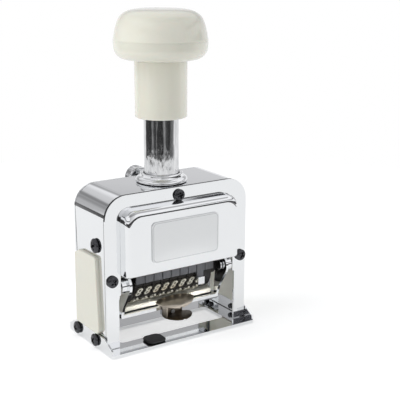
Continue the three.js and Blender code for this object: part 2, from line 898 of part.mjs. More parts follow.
// Comb of fingers and the bright stop finger
{
  const y0 = combFront;
  let comb = box(-wheelsHalf, wheelsHalf, y0, y0 + combThick, combBottom, combTop);
  for (let i = 1; i < placeCount; i += 1) {
    const x = -wheelsHalf + i * wheelPitch;
    comb = comb.subtract(
      box(x - combSlit / 2, x + combSlit / 2, y0 - gap, y0 + combThick + gap, combBottom - gap, combSlotTop),
    );
  }
  const longFinger = box(tabX - tabHalf, tabX + tabHalf, y0, y0 + combThick, longFingerBottom, combBottom + weld);
  comb = comb.add(longFinger);
  addPiece('detent_comb', comb, 'bluedComb');
  const tab = box(tabX - tabHalf, tabX + tabHalf, y0 - gap - tabThick, y0 - gap, tabBottom, tabTop);
  addPiece('stop_finger', tab, 'chromeSatin');
}

// Type wheels: ten flats each, one flat looks down to the paper
for (let i = 0; i < wheelCount; i += 1) {
  const x0 = -wheelsHalf + i * wheelPitch + wheelGap / 2;
  const x1 = x0 + wheelPitch - wheelGap;
  const r = drumFlat / Math.cos(Math.PI / digits);
  const points = [];
  for (let k = 0; k < digits; k += 1) {
    const turn = -Math.PI / 2 + (k + 1 / 2) * 2 * Math.PI / digits;
    points.push([wheelY + r * Math.cos(turn), wheelZ + r * Math.sin(turn)]);
  }
  const wheel = prismX(points, x0, x1)
    .subtract(rodX(wheelBoreR, x0 - gap, x1 + gap, wheelY, wheelZ));
  addPiece(`type_wheel_${i + 1}`, wheel, 'typeWheel');
}

// Pawl frame: disc in the ninth place, arm and bar of pawls behind the wheels
{
  const at = (radial, along) => {
    const c = Math.cos(pawlRest);
    const s = Math.sin(pawlRest);
    return [wheelY + radial * c - along * s, wheelZ + radial * s + along * c];
  };
  const strip = (r0, r1, a0, a1, x0, x1) => prismX(
    [at(r0, a0), at(r1, a0), at(r1, a1), at(r0, a1)],
    x0,
    x1,
  );
  const parts = [
    rodX(pawlDiscR, pawlInner, pawlOuter, wheelY, wheelZ),
    strip(pawlArmRoot, pawlBarOut, -pawlBarHalf, pawlBarHalf, pawlInner, pawlOuter),
    strip(pawlBarIn, pawlBarOut, -pawlBarHalf, pawlBarHalf, pawlBarLeft, pawlOuter),
  ];
  for (let i = 0; i < wheelCount; i += 1) {
    const x = -wheelsHalf + (i + 1 / 2) * wheelPitch;
    parts.push(strip(
      pawlTipR,
      pawlBarIn + gap,
      -pawlBarHalf,
      -pawlTipHalf,
      x - pawlTipWide / 2,
      x + pawlTipWide / 2,
    ));
  }
  const frame = joined(parts)
    .subtract(rodX(wheelBoreR, pawlInner - gap, pawlOuter + gap, wheelY, wheelZ));
  addPiece('pawl_frame', frame, 'blackSteel');
}

// Studs for the ink pad frame
for (const [tag, side] of [['left', -1], ['right', 1]]) {
  const span = (a, b) => [Math.min(side * a, side * b), Math.max(side * a, side * b)];
  const [r0, r1] = span(studEnd - studHead, wallInner - gap);
  const [f0, f1] = span(wallInner - gap - studFlange, wallInner - gap);
  const [h0, h1] = span(studEnd - studHead, studEnd);
  const stud = joined([
    rodX(studR, r0, r1, pivotY, pivotZ, smallSegs),
    rodX(studFlangeR, f0, f1, pivotY, pivotZ, smallSegs),
    rodX(studHeadR, h0, h1, pivotY, pivotZ, smallSegs),
  ]);
  addPiece(`pad_stud_${tag}`, stud, 'chromeSatin');
}

// Ink pad frame: eyes, arms, lip and floor
{
  const parts = [
    box(-bailHalf, bailHalf, lipY - lipHalf, lipY + lipHalf, lipBottom, lipTop),
    box(-bailHalf, bailHalf, lipY, bailBack, lipBottom, bailFloorTop),
    box(-lipLugHalf, lipLugHalf, lipY - lipHalf, lipY + lipHalf, lipLugBottom, lipTop),
  ];
  const armPoints = [
    [pivotY - armTopR * armFrontShares[0], pivotZ - armTopR * armFrontShares[1]],
    [lipY - kneeStep, lipTop + kneeRise],
    [lipY - lipHalf, lipTop],
    [lipY - lipHalf, lipBottom],
    [lipY + lipHalf, lipBottom],
    [lipY + lipHalf, lipTop + kneeRise],
    [pivotY + armTopR * armRearShares[0], pivotZ - armTopR * armRearShares[1]],
  ];
  for (const side of [-1, 1]) {
    const [a0, a1] = side < 0 ? [-bailHalf, -eyeInner] : [eyeInner, bailHalf];
    const [e0, e1] = side < 0 ? [-eyeOuter, -eyeInner] : [eyeInner, eyeOuter];
    parts.push(prismX(armPoints, a0, a1));
    parts.push(rodX(armTopR, a0, a1, pivotY, pivotZ));
    parts.push(rodX(eyeR, e0, e1, pivotY, pivotZ));
  }
  const cuts = [rodX(eyeBoreR, -baseWidth, baseWidth, pivotY, pivotZ, smallSegs)];
  for (const z of [rivetLow, rivetHigh]) {
    cuts.push(rodY(rivetR + gap, lipY - lipHalf - gap, lipY - lipHalf + rivetDepth + gap, 0, z, smallSegs));
  }
  addPiece('pad_frame', without(joined(parts), cuts), 'chrome');
}

// Ink pad tray and pad
{
  addPiece('pad_tray', box(-padHalf, padHalf, trayFront, trayBack, trayBottom, trayTop), 'rubber');
  const pad = roundedPoints(
    -padHalf + padInset,
    trayFront + padInset,
    padHalf - padInset,
    trayBack - padInset,
    [padRadius, padRadius, padRadius, padRadius],
    cornerSegs / 2,
  );
  addPiece('ink_pad', prismZ(pad, padBottom, padTop), 'padFelt');
}

// Two-leaf clip and its rivets
{
  const leaf = (half, root, midY, frontY, shift, backZ, frontZ) => {
    const plan = [[root, clipWallY], [half + shift, midY]];
    for (let i = 1; i < leafSteps; i += 1) {
      const turn = i / leafSteps * Math.PI;
      plan.push([half * Math.cos(turn) + shift, midY + (frontY - midY) * Math.sin(turn)]);
    }
    plan.push([shift - half, midY], [-root, clipWallY]);
    const side = [
      [clipWallY, backZ],
      [frontY, frontZ],
      [frontY, frontZ - clipThick],
      [clipWallY, backZ - clipThick],
    ];
    return prismZ(plan, 0, frameWidth).intersect(prismX(side, -halfWidth, halfWidth));
  };
  const wall = box(
    -clipWallHalf,
    clipWallHalf,
    clipWallY - clipThick,
    clipWallY,
    clipWallBottom,
    upperLeafBackZ - clipThick / 2,
  );
  const web = box(
    -clipWallHalf,
    -clipWallHalf + clipThick,
    clipWallY - clipWebDepth,
    clipWallY,
    lowerLeafBackZ - clipThick,
    upperLeafFrontZ + clipThick,
  );
  const holes = [rivetLow, rivetHigh].map((z) => (
    rodY(rivetR + gap, clipWallY - clipThick - gap, clipWallY + gap, 0, z, smallSegs)
  ));
  const clip = joined([
    wall,
    web,
    leaf(
      upperLeafHalf,
      upperLeafRootHalf,
      upperLeafMidY,
      upperLeafFront,
      0,
      upperLeafBackZ,
      upperLeafFrontZ,
    ),
    leaf(
      lowerLeafHalf,
      clipWallHalf,
      lowerLeafMidY,
      lowerLeafFront,
      lowerLeafShift,
      lowerLeafBackZ,
      lowerLeafZ,
    ),
  ]);
  addPiece('pad_clip', without(clip, holes), 'bronze');
  [['low', rivetLow], ['high', rivetHigh]].forEach(([tag, z]) => {
    const seat = clipWallY - clipThick - gap;
    const tip = lipY - lipHalf + rivetDepth;
    const rivet = joined([
      rodY(rivetHeadR, seat - rivetHead, seat, 0, z, smallSegs),
      rodY(rivetR, seat - rivetHead / 2, tip, 0, z, smallSegs),
    ]);
    addPiece(`clip_rivet_${tag}`, rivet, 'steel');
  });
}

// Buffer on the front bar
{
  const points = roundedPoints(
    bufferX - bufferHalfX,
    bufferFront,
    bufferX + bufferHalfX,
    bufferBack,
    [bufferCorner, bufferCorner, bufferCorner, bufferCorner],
    cornerSegs / 2,
  );
  addPiece('base_buffer', prismZ(points, baseThick + gap, baseThick + gap + bufferRise), 'rubber');
}

// Lock button: bush on the back cover, pin and fluted knob
{
  const bush = rodY(bushR, coverFront + gap, bushEnd, 0, lockZ)
    .subtract(rodY(lockPinR + gap, coverFront, bushEnd + gap, 0, lockZ, smallSegs));
  addPiece('lock_bush', bush, 'chromeSatin');
  const blind = (lockKnobFront + lockKnobBack) / 2;
  addPiece('lock_pin', rodY(lockPinR, lockPinTip, blind - gap, 0, lockZ, smallSegs), 'steel');
  const profile = [
    [0, lockKnobFront],
    [lockKnobR - lockKnobEdge, lockKnobFront],
    [lockKnobR, lockKnobFront + lockKnobEdge],
    [lockKnobR, lockKnobBack - lockKnobEdge],
    [lockKnobR - lockKnobEdge, lockKnobBack],
    [0, lockKnobBack],
  ];
  const lathe = latheZ(profile, lockGrooves * 2);
  const index = lathe.attributes.position;
  for (let i = 0; i < index.count; i += 1) {
    const step = Math.round(Math.atan2(index.getY(i), index.getX(i)) / (Math.PI / lockGrooves));
    const r = Math.hypot(index.getX(i), index.getY(i));
    if (step % 2 !== 0 && r > lockKnobR - gap) {
      index.setX(i, index.getX(i) * (1 - lockGrooveDepth / lockKnobR));
      index.setY(i, index.getY(i) * (1 - lockGrooveDepth / lockKnobR));
    }
  }
  lathe.rotateX(-Math.PI / 2);
  lathe.translate(0, 0, lockZ);
  const knob = solidOf(lathe)
    .subtract(rodY(lockPinR + gap, lockKnobFront - gap, blind, 0, lockZ, smallSegs));
  addPiece('lock_knob', knob, 'chrome');
}

// Main spring round the rod, inside the tube
{
  const low = crossTop + gap + springWire / 2;
  const high = plugBottom - gap - springWire / 2;
  const endShare = springEndShare;
  class Coil extends THREE.Curve {
    getPoint(t, target = new THREE.Vector3()) {
      const share = Math.min(Math.max((t - endShare) / (1 - 2 * endShare), 0), 1);
      const turn = share * springCurls * 2 * Math.PI;
      const z = low + (high - low) * share;
      target.set(springR * Math.cos(turn), springR * Math.sin(turn), z);
      const before = Math.min(t - endShare, 0) / endShare;
      const after = Math.max(t - 1 + endShare, 0) / endShare;
      const along = (before + after) * springWire;
      target.x -= Math.sin(turn) * along;
      target.y += Math.cos(turn) * along;
      return target;
    }
  }
  const coil = new Coil();
  const section = [];
  for (let i = 0; i < springSides; i += 1) {
    const turn = i / springSides * 2 * Math.PI;
    section.push([springWire / 2 * Math.cos(turn), springWire / 2 * Math.sin(turn)]);
  }
  const steps = springCurls * springSteps;
  const path = [];
  for (let i = 0; i <= steps; i += 1) path.push(coil.getPoint(endShare + (1 - 2 * endShare) * i / steps));
  path.unshift(coil.getPoint(0));
  path.push(coil.getPoint(1));
  let least = Infinity;
  for (let i = 0; i < path.length; i += 1) {
    for (let j = i + springSteps / 2; j < path.length; j += 1) {
      least = Math.min(least, path[i].distanceTo(path[j]) - springWire);
    }
  }
  console.log('main_spring least gap to itself', least.toFixed(2));
  const line = new THREE.CurvePath();
  for (let i = 0; i + 1 < path.length; i += 1) line.add(new THREE.LineCurve3(path[i], path[i + 1]));
  const stations = {
    getPointAt: (t) => path[Math.round(t * (path.length - 1))].clone(),
  };
  const tangentOf = (t) => {
    const i = Math.round(t * (path.length - 1));
    const a = path[Math.max(i - 1, 0)];
    const b = path[Math.min(i + 1, path.length - 1)];
    return b.clone().sub(a).normalize();
  };
  class Polyline extends THREE.Curve {
    getPoint(t, target = new THREE.Vector3()) { return target.copy(stations.getPointAt(t)); }

    getPointAt(t, target = new THREE.Vector3()) { return target.copy(stations.getPointAt(t)); }

    getTangentAt(t, target = new THREE.Vector3()) { return target.copy(tangentOf(t)); }

    getTangent(t, target = new THREE.Vector3()) { return target.copy(tangentOf(t)); }
  }
  const geometry = new THREE.ExtrudeGeometry(outline(section), {
    steps: path.length - 1,
    bevelEnabled: false,
    extrudePath: new Polyline(),
  });
  addPiece('main_spring', solidOf(geometry), 'spring');
}

export default group;
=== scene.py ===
# %% [markdown]
# # A hand numbering machine
#
# The real object is a self-inking stamp. A knob on a chromed tube is pushed down, the ink pad swings out of
# the way, and eight type wheels print a number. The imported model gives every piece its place, so this
# lesson only dresses it: each step makes one piece or finish. All lengths below are millimetres, turned
# into metres by `mm`.

# %% Load the frame
import json
from math import atan2, cos, degrees, pi, radians, sin, tan
import bpy
from mathutils import Matrix, Vector

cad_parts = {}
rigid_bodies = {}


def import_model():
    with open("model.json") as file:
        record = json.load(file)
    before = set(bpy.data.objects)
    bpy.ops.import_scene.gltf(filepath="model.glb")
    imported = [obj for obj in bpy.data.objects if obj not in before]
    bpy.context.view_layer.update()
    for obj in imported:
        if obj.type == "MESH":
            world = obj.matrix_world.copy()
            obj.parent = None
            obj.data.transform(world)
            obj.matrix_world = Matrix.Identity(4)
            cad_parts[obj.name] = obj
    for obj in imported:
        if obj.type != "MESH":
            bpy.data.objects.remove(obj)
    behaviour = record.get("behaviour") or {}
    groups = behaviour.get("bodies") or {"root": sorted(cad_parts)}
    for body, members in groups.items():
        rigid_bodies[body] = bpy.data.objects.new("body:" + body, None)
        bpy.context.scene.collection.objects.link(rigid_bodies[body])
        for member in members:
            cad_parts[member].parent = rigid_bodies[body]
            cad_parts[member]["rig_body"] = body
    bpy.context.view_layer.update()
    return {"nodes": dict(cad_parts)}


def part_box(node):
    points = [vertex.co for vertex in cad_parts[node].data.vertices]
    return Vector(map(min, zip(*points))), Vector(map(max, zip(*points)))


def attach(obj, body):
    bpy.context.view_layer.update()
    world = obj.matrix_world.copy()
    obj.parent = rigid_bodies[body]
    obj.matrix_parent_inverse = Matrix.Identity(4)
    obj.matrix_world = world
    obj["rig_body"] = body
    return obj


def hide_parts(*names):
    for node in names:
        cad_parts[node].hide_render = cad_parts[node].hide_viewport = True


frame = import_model()
mm = 0.001
tube_low, tube_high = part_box("plunger_tube")
mid_y = (tube_low.y + tube_high.y) / 2 / mm
print("nodes:", len(frame["nodes"]), "middle of the tube at y =", round(mid_y, 3), "mm")

# %% [markdown]
# ## Camera
#
# The photograph was taken from the front left and a little above. Its place was found by matching corners
# of the frame, screws and knob with the photograph. A camera could also be aimed with a Track To
# constraint, but a matrix keeps the small roll that the match gave.

# %% Camera
azimuth, elevation, roll = -33.945, 15.114, 0.276
lens_length, sensor_width, stand = 83.48, 36, (-207.24, -340.18, 166.85)
camera_data = bpy.data.cameras.new("camera")
camera_data.sensor_width = sensor_width
camera_data.lens = lens_length
camera = bpy.data.objects.new("camera", camera_data)
bpy.context.scene.collection.objects.link(camera)
turned, raised, rolled = (radians(angle) for angle in (azimuth, elevation, roll))
back = Vector((sin(turned) * cos(raised), -cos(turned) * cos(raised), sin(raised)))
level_right = (-back).cross(Vector((0, 0, 1))).normalized()
level_up = level_right.cross(-back)
right = cos(rolled) * level_right + sin(rolled) * level_up
up = cos(rolled) * level_up - sin(rolled) * level_right
place = Matrix((right, up, back)).transposed().to_4x4()
place.translation = Vector(stand) * mm
camera.matrix_world = place
bpy.context.scene.camera = camera
print("camera", round(camera.matrix_world.translation.length, 3), "m from the base")

# %% [markdown]
# ## Light, floor and background
#
# Chrome has no look of its own: it shows the room. A studio puts a product on a white sheet under large
# soft lamps, and leaves darker gaps between them, which become the dark streaks on the tube. Lamps alone
# could do this, but a world made from the direction of each ray is simpler to place. Rays from the camera
# see plain white.

# %% Node helpers
def added(tree, kind):
    """A new shader node in a node tree."""
    return tree.nodes.new("ShaderNode" + kind)


def feed(tree, socket, value):
    """Links another node's output to a socket, or sets the socket to a number or colour."""
    if isinstance(value, bpy.types.NodeSocket):
        tree.links.new(value, socket)
    else:
        socket.default_value = value


def arithmetic(tree, operation, *values, clamp=False):
    """One step of arithmetic in a node tree."""
    step = added(tree, "Math")
    step.operation = operation
    step.use_clamp = clamp
    for socket, value in zip(step.inputs, values):
        feed(tree, socket, value)
    return step.outputs["Value"]


def blended(tree, factor, first, second, way="MIX"):
    """Two colours mixed in a node tree."""
    mix = added(tree, "Mix")
    mix.data_type = "RGBA"
    mix.blend_type = way
    for name, value in (("Factor", factor), ("A", first), ("B", second)):
        feed(tree, mix.inputs[name], value)
    return mix.outputs["Result"]


# %% World
bpy.context.scene.view_settings.view_transform = "Standard"
world = bpy.data.worlds.new("studio")
bpy.context.scene.world = world
world.use_nodes = True
sky = world.node_tree
sky.nodes.clear()
toward = added(sky, "TexCoord")
split = added(sky, "SeparateXYZ")
feed(sky, split.inputs["Vector"], toward.outputs["Generated"])
to_east, to_north, to_top = (split.outputs[axis] for axis in "XYZ")
seen = added(sky, "LightPath").outputs


def grey_ramp(value, stops):
    """Grey levels along a value from 0 to 1."""
    ramp = added(sky, "ValToRGB")
    ramp.color_ramp.interpolation = "EASE"
    marks = ramp.color_ramp.elements
    while len(marks) < len(stops):
        marks.new(0.5)
    for mark, (spot, grey) in zip(marks, stops):
        mark.position = spot
        mark.color = (grey, grey, grey * 1.01, 1)
    feed(sky, ramp.inputs["Fac"], value)
    return ramp.outputs["Color"]


# %% Greys below the horizon
# Round the object from behind the camera: lamps are light, the gaps between them are dark
full_turn = 2 * pi
camera_share = atan2(-cos(turned), sin(turned)) / full_turn
round_turn = arithmetic(sky, "ARCTAN2", to_north, to_east)
from_camera = arithmetic(sky, "MULTIPLY_ADD", round_turn, 1 / full_turn, 0.5 - camera_share)
round_share = arithmetic(sky, "FRACT", from_camera)
sides = grey_ramp(round_share, [
    (0.0, 0.95), (0.15, 0.90), (0.185, 0.06), (0.31, 0.04), (0.345, 0.26), (0.375, 0.07), (0.41, 0.05),
    (0.424, 0.26), (0.44, 0.05), (0.53, 0.03), (0.565, 0.32), (0.595, 0.07), (0.66, 0.04), (0.70, 0.16),
    (0.745, 0.25), (0.775, 0.95), (1.0, 0.95),
])
print("turn of the camera", round(camera_share, 3))

# %% Greys above the horizon
# By height: the wall behind the object, the wall in front of it, and a darker left
horizon, side_slope, side_shift, desk_height, desk_reach = -0.02, 50, -25.9, 0.69, 0.022
height = arithmetic(sky, "MULTIPLY_ADD", to_top, 0.5, 0.5)
behind = grey_ramp(height, [(0.0, 0.9), (0.49, 0.90), (0.59, 0.84), (0.612, 0.66), (0.64, 0.53),
                            (0.67, 0.56), (0.693, 0.40), (0.71, 0.42), (0.735, 0.88), (1.0, 1.0)])
in_front = grey_ramp(height, [(0.0, 0.05), (0.565, 0.05), (0.595, 0.98), (0.86, 0.98), (0.895, 0.45),
                              (1.0, 0.55)])
sideways = arithmetic(sky, "MULTIPLY_ADD", to_east, 0.5, 0.5)
left_dark = grey_ramp(sideways, [(0.0, 1.0), (0.225, 1.0), (0.245, 0.56), (0.48, 0.76), (0.60, 1.0),
                                 (1.0, 1.0)])
# Low and far to a side, a mirror that shows another mirror shows the dark end of the room in it
second_look = arithmetic(sky, "GREATER_THAN", seen["Ray Depth"], 1.5)
aside = arithmetic(sky, "ABSOLUTE", to_east)
far_out = arithmetic(sky, "MULTIPLY_ADD", aside, side_slope, side_shift, clamp=True)
at_desk = arithmetic(sky, "COMPARE", height, desk_height, desk_reach)
dark_share = arithmetic(sky, "MULTIPLY", arithmetic(sky, "MULTIPLY", second_look, far_out), at_desk)
in_front = blended(sky, dark_share, in_front, (0.06, 0.06, 0.065, 1), "MULTIPLY")
above = blended(sky, arithmetic(sky, "LESS_THAN", to_north, 0.0), behind, in_front)
above = blended(sky, 1, above, left_dark, "MULTIPLY")
room = blended(sky, arithmetic(sky, "LESS_THAN", to_top, horizon), above, sides)
print("greys:", len(sky.nodes), "nodes")


# %% What each ray sees
def background(colour, strength=1):
    """Light of one colour, or of the greys of a room."""
    made = added(sky, "Background")
    feed(sky, made.inputs["Color"], colour)
    feed(sky, made.inputs["Strength"], strength)
    return made.outputs["Background"]


def either(factor, first, second):
    """The first light, or the second where the factor is 1."""
    mix = added(sky, "MixShader")
    for socket, value in zip(mix.inputs, (factor, first, second)):
        feed(sky, socket, value)
    return mix.outputs["Shader"]


soft_light, soft_strength, white = (0.97, 0.985, 1.0, 1), 0.49, (1, 1, 1, 1)
in_metal = either(seen["Is Glossy Ray"], background(soft_light, soft_strength), background(room))
straight = arithmetic(sky, "MAXIMUM", seen["Is Camera Ray"], seen["Is Transmission Ray"])
studio = either(straight, in_metal, background(white))
feed(sky, added(sky, "OutputWorld").inputs["Surface"], studio)
print("world nodes:", len(sky.nodes))

# %% [markdown]
# The lamps are wide, so shadows have no hard edge. The main lamp stands at the upper left, as the light
# side of the knob in the photograph shows, and a weaker one fills the right side. Two small ones with
# narrow cones reach the type wheels under the cover and the left of the knob. Spot lamps would do too, but
# area lamps keep the edge of the light soft.

# %% Lamps
def lamp(name, spot, aim, side, watts, cone=None):
    """A square area lamp at a spot, facing an aim; a cone in degrees makes it narrow and hides it."""
    data = bpy.data.lights.new(name, "AREA")
    data.size = side
    data.energy = watts
    body = bpy.data.objects.new(name, data)
    bpy.context.scene.collection.objects.link(body)
    body.location = spot
    body.rotation_euler = (Vector(aim) - Vector(spot)).to_track_quat("-Z", "Y").to_euler()
    body.visible_glossy = False
    if cone:
        data.spread = radians(cone)
        body.visible_camera = False


lamp("main_lamp", (-0.82, 0.16, 1.05), (0, 0, 0.07), 0.8, 6.0)
lamp("fill_lamp", (0.90, -0.55, 0.50), (0, 0, 0.06), 0.7, 2.5)
lamp("low_lamp", (-0.06, -0.30, 0.030), (0.004, 0, 0.011), 0.03, 0.0045, 9)
lamp("knob_lamp", (-0.40, 0.02, 0.20), (0, 0, 0.132), 0.10, 0.012, 26)
print("lamps:", len(bpy.data.lights))

# %% Floor
floor_radius, floor_drop = 0.36, 0.0001
glow_on_matt, glow_in_mirror, glow_to_camera = 0.35, 0.28, 0.45
bpy.ops.object.select_all(action="DESELECT")
bpy.ops.mesh.primitive_circle_add(vertices=96, radius=floor_radius, fill_type="NGON",
                                  location=(0, 0, -floor_drop))
floor = bpy.context.active_object
floor.name = "floor"
bpy.ops.object.transform_apply(location=True, rotation=True, scale=True)
paper = bpy.data.materials.new("white_paper")
paper.use_nodes = True
sheet = paper.node_tree
sheet.nodes.clear()
matt = added(sheet, "BsdfDiffuse")
matt.inputs["Color"].default_value = (0.84, 0.84, 0.84, 1)
looked_at = added(sheet, "LightPath").outputs
bounce_part = arithmetic(sheet, "MULTIPLY", looked_at["Is Diffuse Ray"], glow_on_matt)
mirror_part = arithmetic(sheet, "MULTIPLY_ADD", looked_at["Is Glossy Ray"], glow_in_mirror, bounce_part)
lift = arithmetic(sheet, "MULTIPLY_ADD", looked_at["Is Camera Ray"], glow_to_camera, mirror_part)
glow = added(sheet, "Emission")
feed(sheet, glow.inputs["Strength"], lift)
both = added(sheet, "AddShader")
feed(sheet, both.inputs[0], matt.outputs["BSDF"])
feed(sheet, both.inputs[1], glow.outputs["Emission"])
feed(sheet, added(sheet, "OutputMaterial").inputs["Surface"], both.outputs["Shader"])
floor.data.materials.append(paper)
print("floor radius", floor_radius, "m")

# %% [markdown]
# ## Finishes
#
# Every finish is made of nodes on Object coordinates, so it stays on its piece at any pose. One helper
# gives a shader a fine grain: noise moves the roughness and the colour a little, and a second noise raises
# a bump. An image would show more, but would blur close up.

# %% Helper for finishes
def finish(name, colour, metallic, rough, grain, rough_play, tint_play, bump, bump_depth=0.02,
           bump_grain=None, stretch=(1, 1, 1), **extras):
    """A shader whose colour and roughness vary with a fine noise, with a bump of bump_depth millimetres."""
    made = bpy.data.materials.new(name)
    made.use_nodes = True
    tree = made.node_tree
    shader = tree.nodes["Principled BSDF"]
    shader.inputs["Metallic"].default_value = metallic
    for socket, value in extras.items():
        shader.inputs[socket.replace("_", " ").title()].default_value = value
    fitted = added(tree, "Mapping")
    fitted.inputs["Scale"].default_value = stretch
    feed(tree, fitted.inputs["Vector"], added(tree, "TexCoord").outputs["Object"])
    cloud = added(tree, "TexNoise")
    cloud.inputs["Scale"].default_value = grain
    cloud.inputs["Detail"].default_value = 4
    feed(tree, cloud.inputs["Vector"], fitted.outputs["Vector"])
    dull = added(tree, "MapRange")
    dull.inputs["To Min"].default_value = max(rough - rough_play, 0.01)
    dull.inputs["To Max"].default_value = rough + rough_play
    feed(tree, dull.inputs["Value"], cloud.outputs["Fac"])
    feed(tree, shader.inputs["Roughness"], dull.outputs["Result"])
    darker = (*[c * (1 - tint_play) for c in colour], 1)
    lighter = (*[min(c * (1 + tint_play), 1) for c in colour], 1)
    feed(tree, shader.inputs["Base Color"], blended(tree, cloud.outputs["Fac"], darker, lighter))
    ripple = added(tree, "TexNoise")
    ripple.inputs["Scale"].default_value = bump_grain or grain * 2
    feed(tree, ripple.inputs["Vector"], fitted.outputs["Vector"])
    relief = added(tree, "Bump")
    relief.inputs["Strength"].default_value = bump
    relief.inputs["Distance"].default_value = bump_depth * mm
    feed(tree, relief.inputs["Height"], ripple.outputs["Fac"])
    feed(tree, shader.inputs["Normal"], relief.outputs["Normal"])
    return made


# %% [markdown]
# Chrome plate is a mirror with a slight waviness from the pressed sheet under it. The turned chrome of the
# tube is straighter. Ivory plastic is moulded: smooth, slightly waxy, with a soft clear highlight.

# %% Finishes of the large pieces
polished_chrome = finish("polished_chrome", (0.87, 0.88, 0.89), 1.0, 0.05, grain=140, rough_play=0.02,
                         tint_play=0.01, bump=0.08, bump_depth=0.25, bump_grain=45)
turned_chrome = finish("turned_chrome", (0.87, 0.88, 0.89), 1.0, 0.10, grain=420, rough_play=0.04,
                       tint_play=0.01, bump=0.10, bump_depth=0.05, bump_grain=420, stretch=(1, 1, 0.12))
ground_chrome = finish("ground_chrome", (0.72, 0.735, 0.76), 1.0, 0.07, grain=620, rough_play=0.04,
                       tint_play=0.42, bump=0.8, bump_depth=0.11, bump_grain=520, stretch=(1, 1, 0.26))
# The sheet's cut edge is dull steel, and its near-black colour is painted shade of the seam where the strap
# meets the cover
dull_edge_seam_shade = finish("dull_edge_seam_shade", (0.045, 0.046, 0.05), 0.8, 0.40, grain=900, rough_play=0.08, tint_play=0.25,
                  bump=0.1)
ivory_moulding = finish("ivory_moulding", (0.80, 0.785, 0.68), 0.0, 0.38, grain=500, rough_play=0.04,
                        tint_play=0.015, bump=0.08, bump_grain=1400, coat_weight=0.9, coat_roughness=0.06,
                        subsurface_weight=0.06, subsurface_scale=1.5 * mm)
large_finishes = (polished_chrome, turned_chrome, ground_chrome, dull_edge_seam_shade, ivory_moulding)
print("finishes:", [made.name for made in large_finishes])

# %% [markdown]
# The small pieces differ more: oil-black screws, blued spring steel, dark type metal with bright figures,
# plain turned steel, a clip of dull nickel brass, felt and rubber.

# %% Finishes of the small metal pieces
oil_black = finish("oil_black", (0.075, 0.076, 0.082), 0.85, 0.22, grain=1600, rough_play=0.10,
                   tint_play=0.4, bump=0.15)
black_steel = finish("black_steel", (0.022, 0.021, 0.021), 0.55, 0.36, grain=700, rough_play=0.10,
                     tint_play=0.5, bump=0.12, bump_depth=0.03)
blued_steel = finish("blued_steel", (0.105, 0.107, 0.115), 0.35, 0.42, grain=900, rough_play=0.08,
                     tint_play=0.35, bump=0.10, stretch=(1, 1, 0.25))
type_metal = finish("type_metal", (0.020, 0.018, 0.016), 0.55, 0.38, grain=1100, rough_play=0.12,
                    tint_play=0.6, bump=0.2, bump_depth=0.04)
figure_metal = finish("figure_metal", (0.80, 0.74, 0.64), 1.0, 0.28, grain=2200, rough_play=0.12,
                      tint_play=0.35, bump=0.2, bump_depth=0.04)
turned_steel = finish("turned_steel", (0.50, 0.51, 0.52), 1.0, 0.30, grain=800, rough_play=0.08,
                      tint_play=0.10, bump=0.08, stretch=(1, 1, 0.2))
satin_chrome = finish("satin_chrome", (0.80, 0.81, 0.82), 1.0, 0.20, grain=900, rough_play=0.06,
                      tint_play=0.04, bump=0.06)
spring_wire = finish("spring_wire", (0.45, 0.46, 0.48), 1.0, 0.30, grain=1500, rough_play=0.08,
                     tint_play=0.15, bump=0.10)
clip_nickel = finish("clip_nickel", (0.84, 0.75, 0.63), 1.0, 0.36, grain=320, rough_play=0.10,
                     tint_play=0.20, bump=0.10, bump_depth=0.04, stretch=(1, 0.35, 1))
print("metals:", len(bpy.data.materials))

# %% [markdown]
# The lower leaf of the clip is painted dark: painted shade stands for the shadow and dark reflection of the
# upper leaf above it. The dark follows the height, so a ramp over the height is multiplied into the colour.
# It could be painted in an image, but then the mesh would have to be unwrapped.

# %% Painted shade on the clip
lower_leaf, upper_leaf, leaf_shade_colour = 8 * mm, 16 * mm, (0.11, 0.10, 0.09, 1)
brass = clip_nickel.node_tree
clip_height = added(brass, "SeparateXYZ")
feed(brass, clip_height.inputs["Vector"], brass.nodes["Texture Coordinate"].outputs["Object"])
leaf_share = added(brass, "MapRange")
leaf_share.inputs["From Min"].default_value = lower_leaf
leaf_share.inputs["From Max"].default_value = upper_leaf
feed(brass, leaf_share.inputs["Value"], clip_height.outputs["Z"])
# Ramp of painted shade: dark low on the clip, the plain brass colour higher up
painted_leaf_shade = added(brass, "ValToRGB")
painted_leaf_shade.color_ramp.elements[0].color = leaf_shade_colour
painted_leaf_shade.color_ramp.elements[0].position = 0.15
painted_leaf_shade.color_ramp.elements[1].color = (1, 1, 1, 1)
feed(brass, painted_leaf_shade.inputs["Fac"], leaf_share.outputs["Result"])
brass_colour = brass.nodes["Principled BSDF"].inputs["Base Color"]
plain_brass = brass_colour.links[0].from_socket
# The painted shade is multiplied into the brass colour
feed(brass, brass_colour, blended(brass, 1, plain_brass, painted_leaf_shade.outputs["Color"], "MULTIPLY"))
print("tarnish up to", upper_leaf, "m")

# %% Finishes of felt, rubber and label
pad_felt = finish("pad_felt", (0.97, 0.90, 0.78), 0.0, 0.92, grain=2600, rough_play=0.05, tint_play=0.12,
                  bump=0.6, bump_depth=0.08, bump_grain=4200, sheen_weight=0.35)
black_rubber = finish("black_rubber", (0.013, 0.013, 0.014), 0.0, 0.62, grain=1500, rough_play=0.10,
                      tint_play=0.35, bump=0.25, bump_depth=0.03)
label_enamel = finish("label_enamel", (0.85, 0.86, 0.865), 0.0, 0.30, grain=700, rough_play=0.05,
                      tint_play=0.01, bump=0.05, bump_depth=0.01)
label_line = finish("label_line", (0.50, 0.51, 0.52), 0.0, 0.40, grain=900, rough_play=0.05,
                    tint_play=0.08, bump=0.05, bump_depth=0.01)
print("materials:", len(bpy.data.materials))

# %% [markdown]
# ## Helpers for modelling
#
# Most pieces are cut from sheet or bar, or turned on a lathe. Both start from one vertex: it is pushed from
# corner to corner to draw an outline, which is then filled and pulled to a plate, or spun round an axis.
# Drawing by extrusion keeps every corner where a drawing gives it.

# %% Drawing helpers
weld = 0.002 * mm


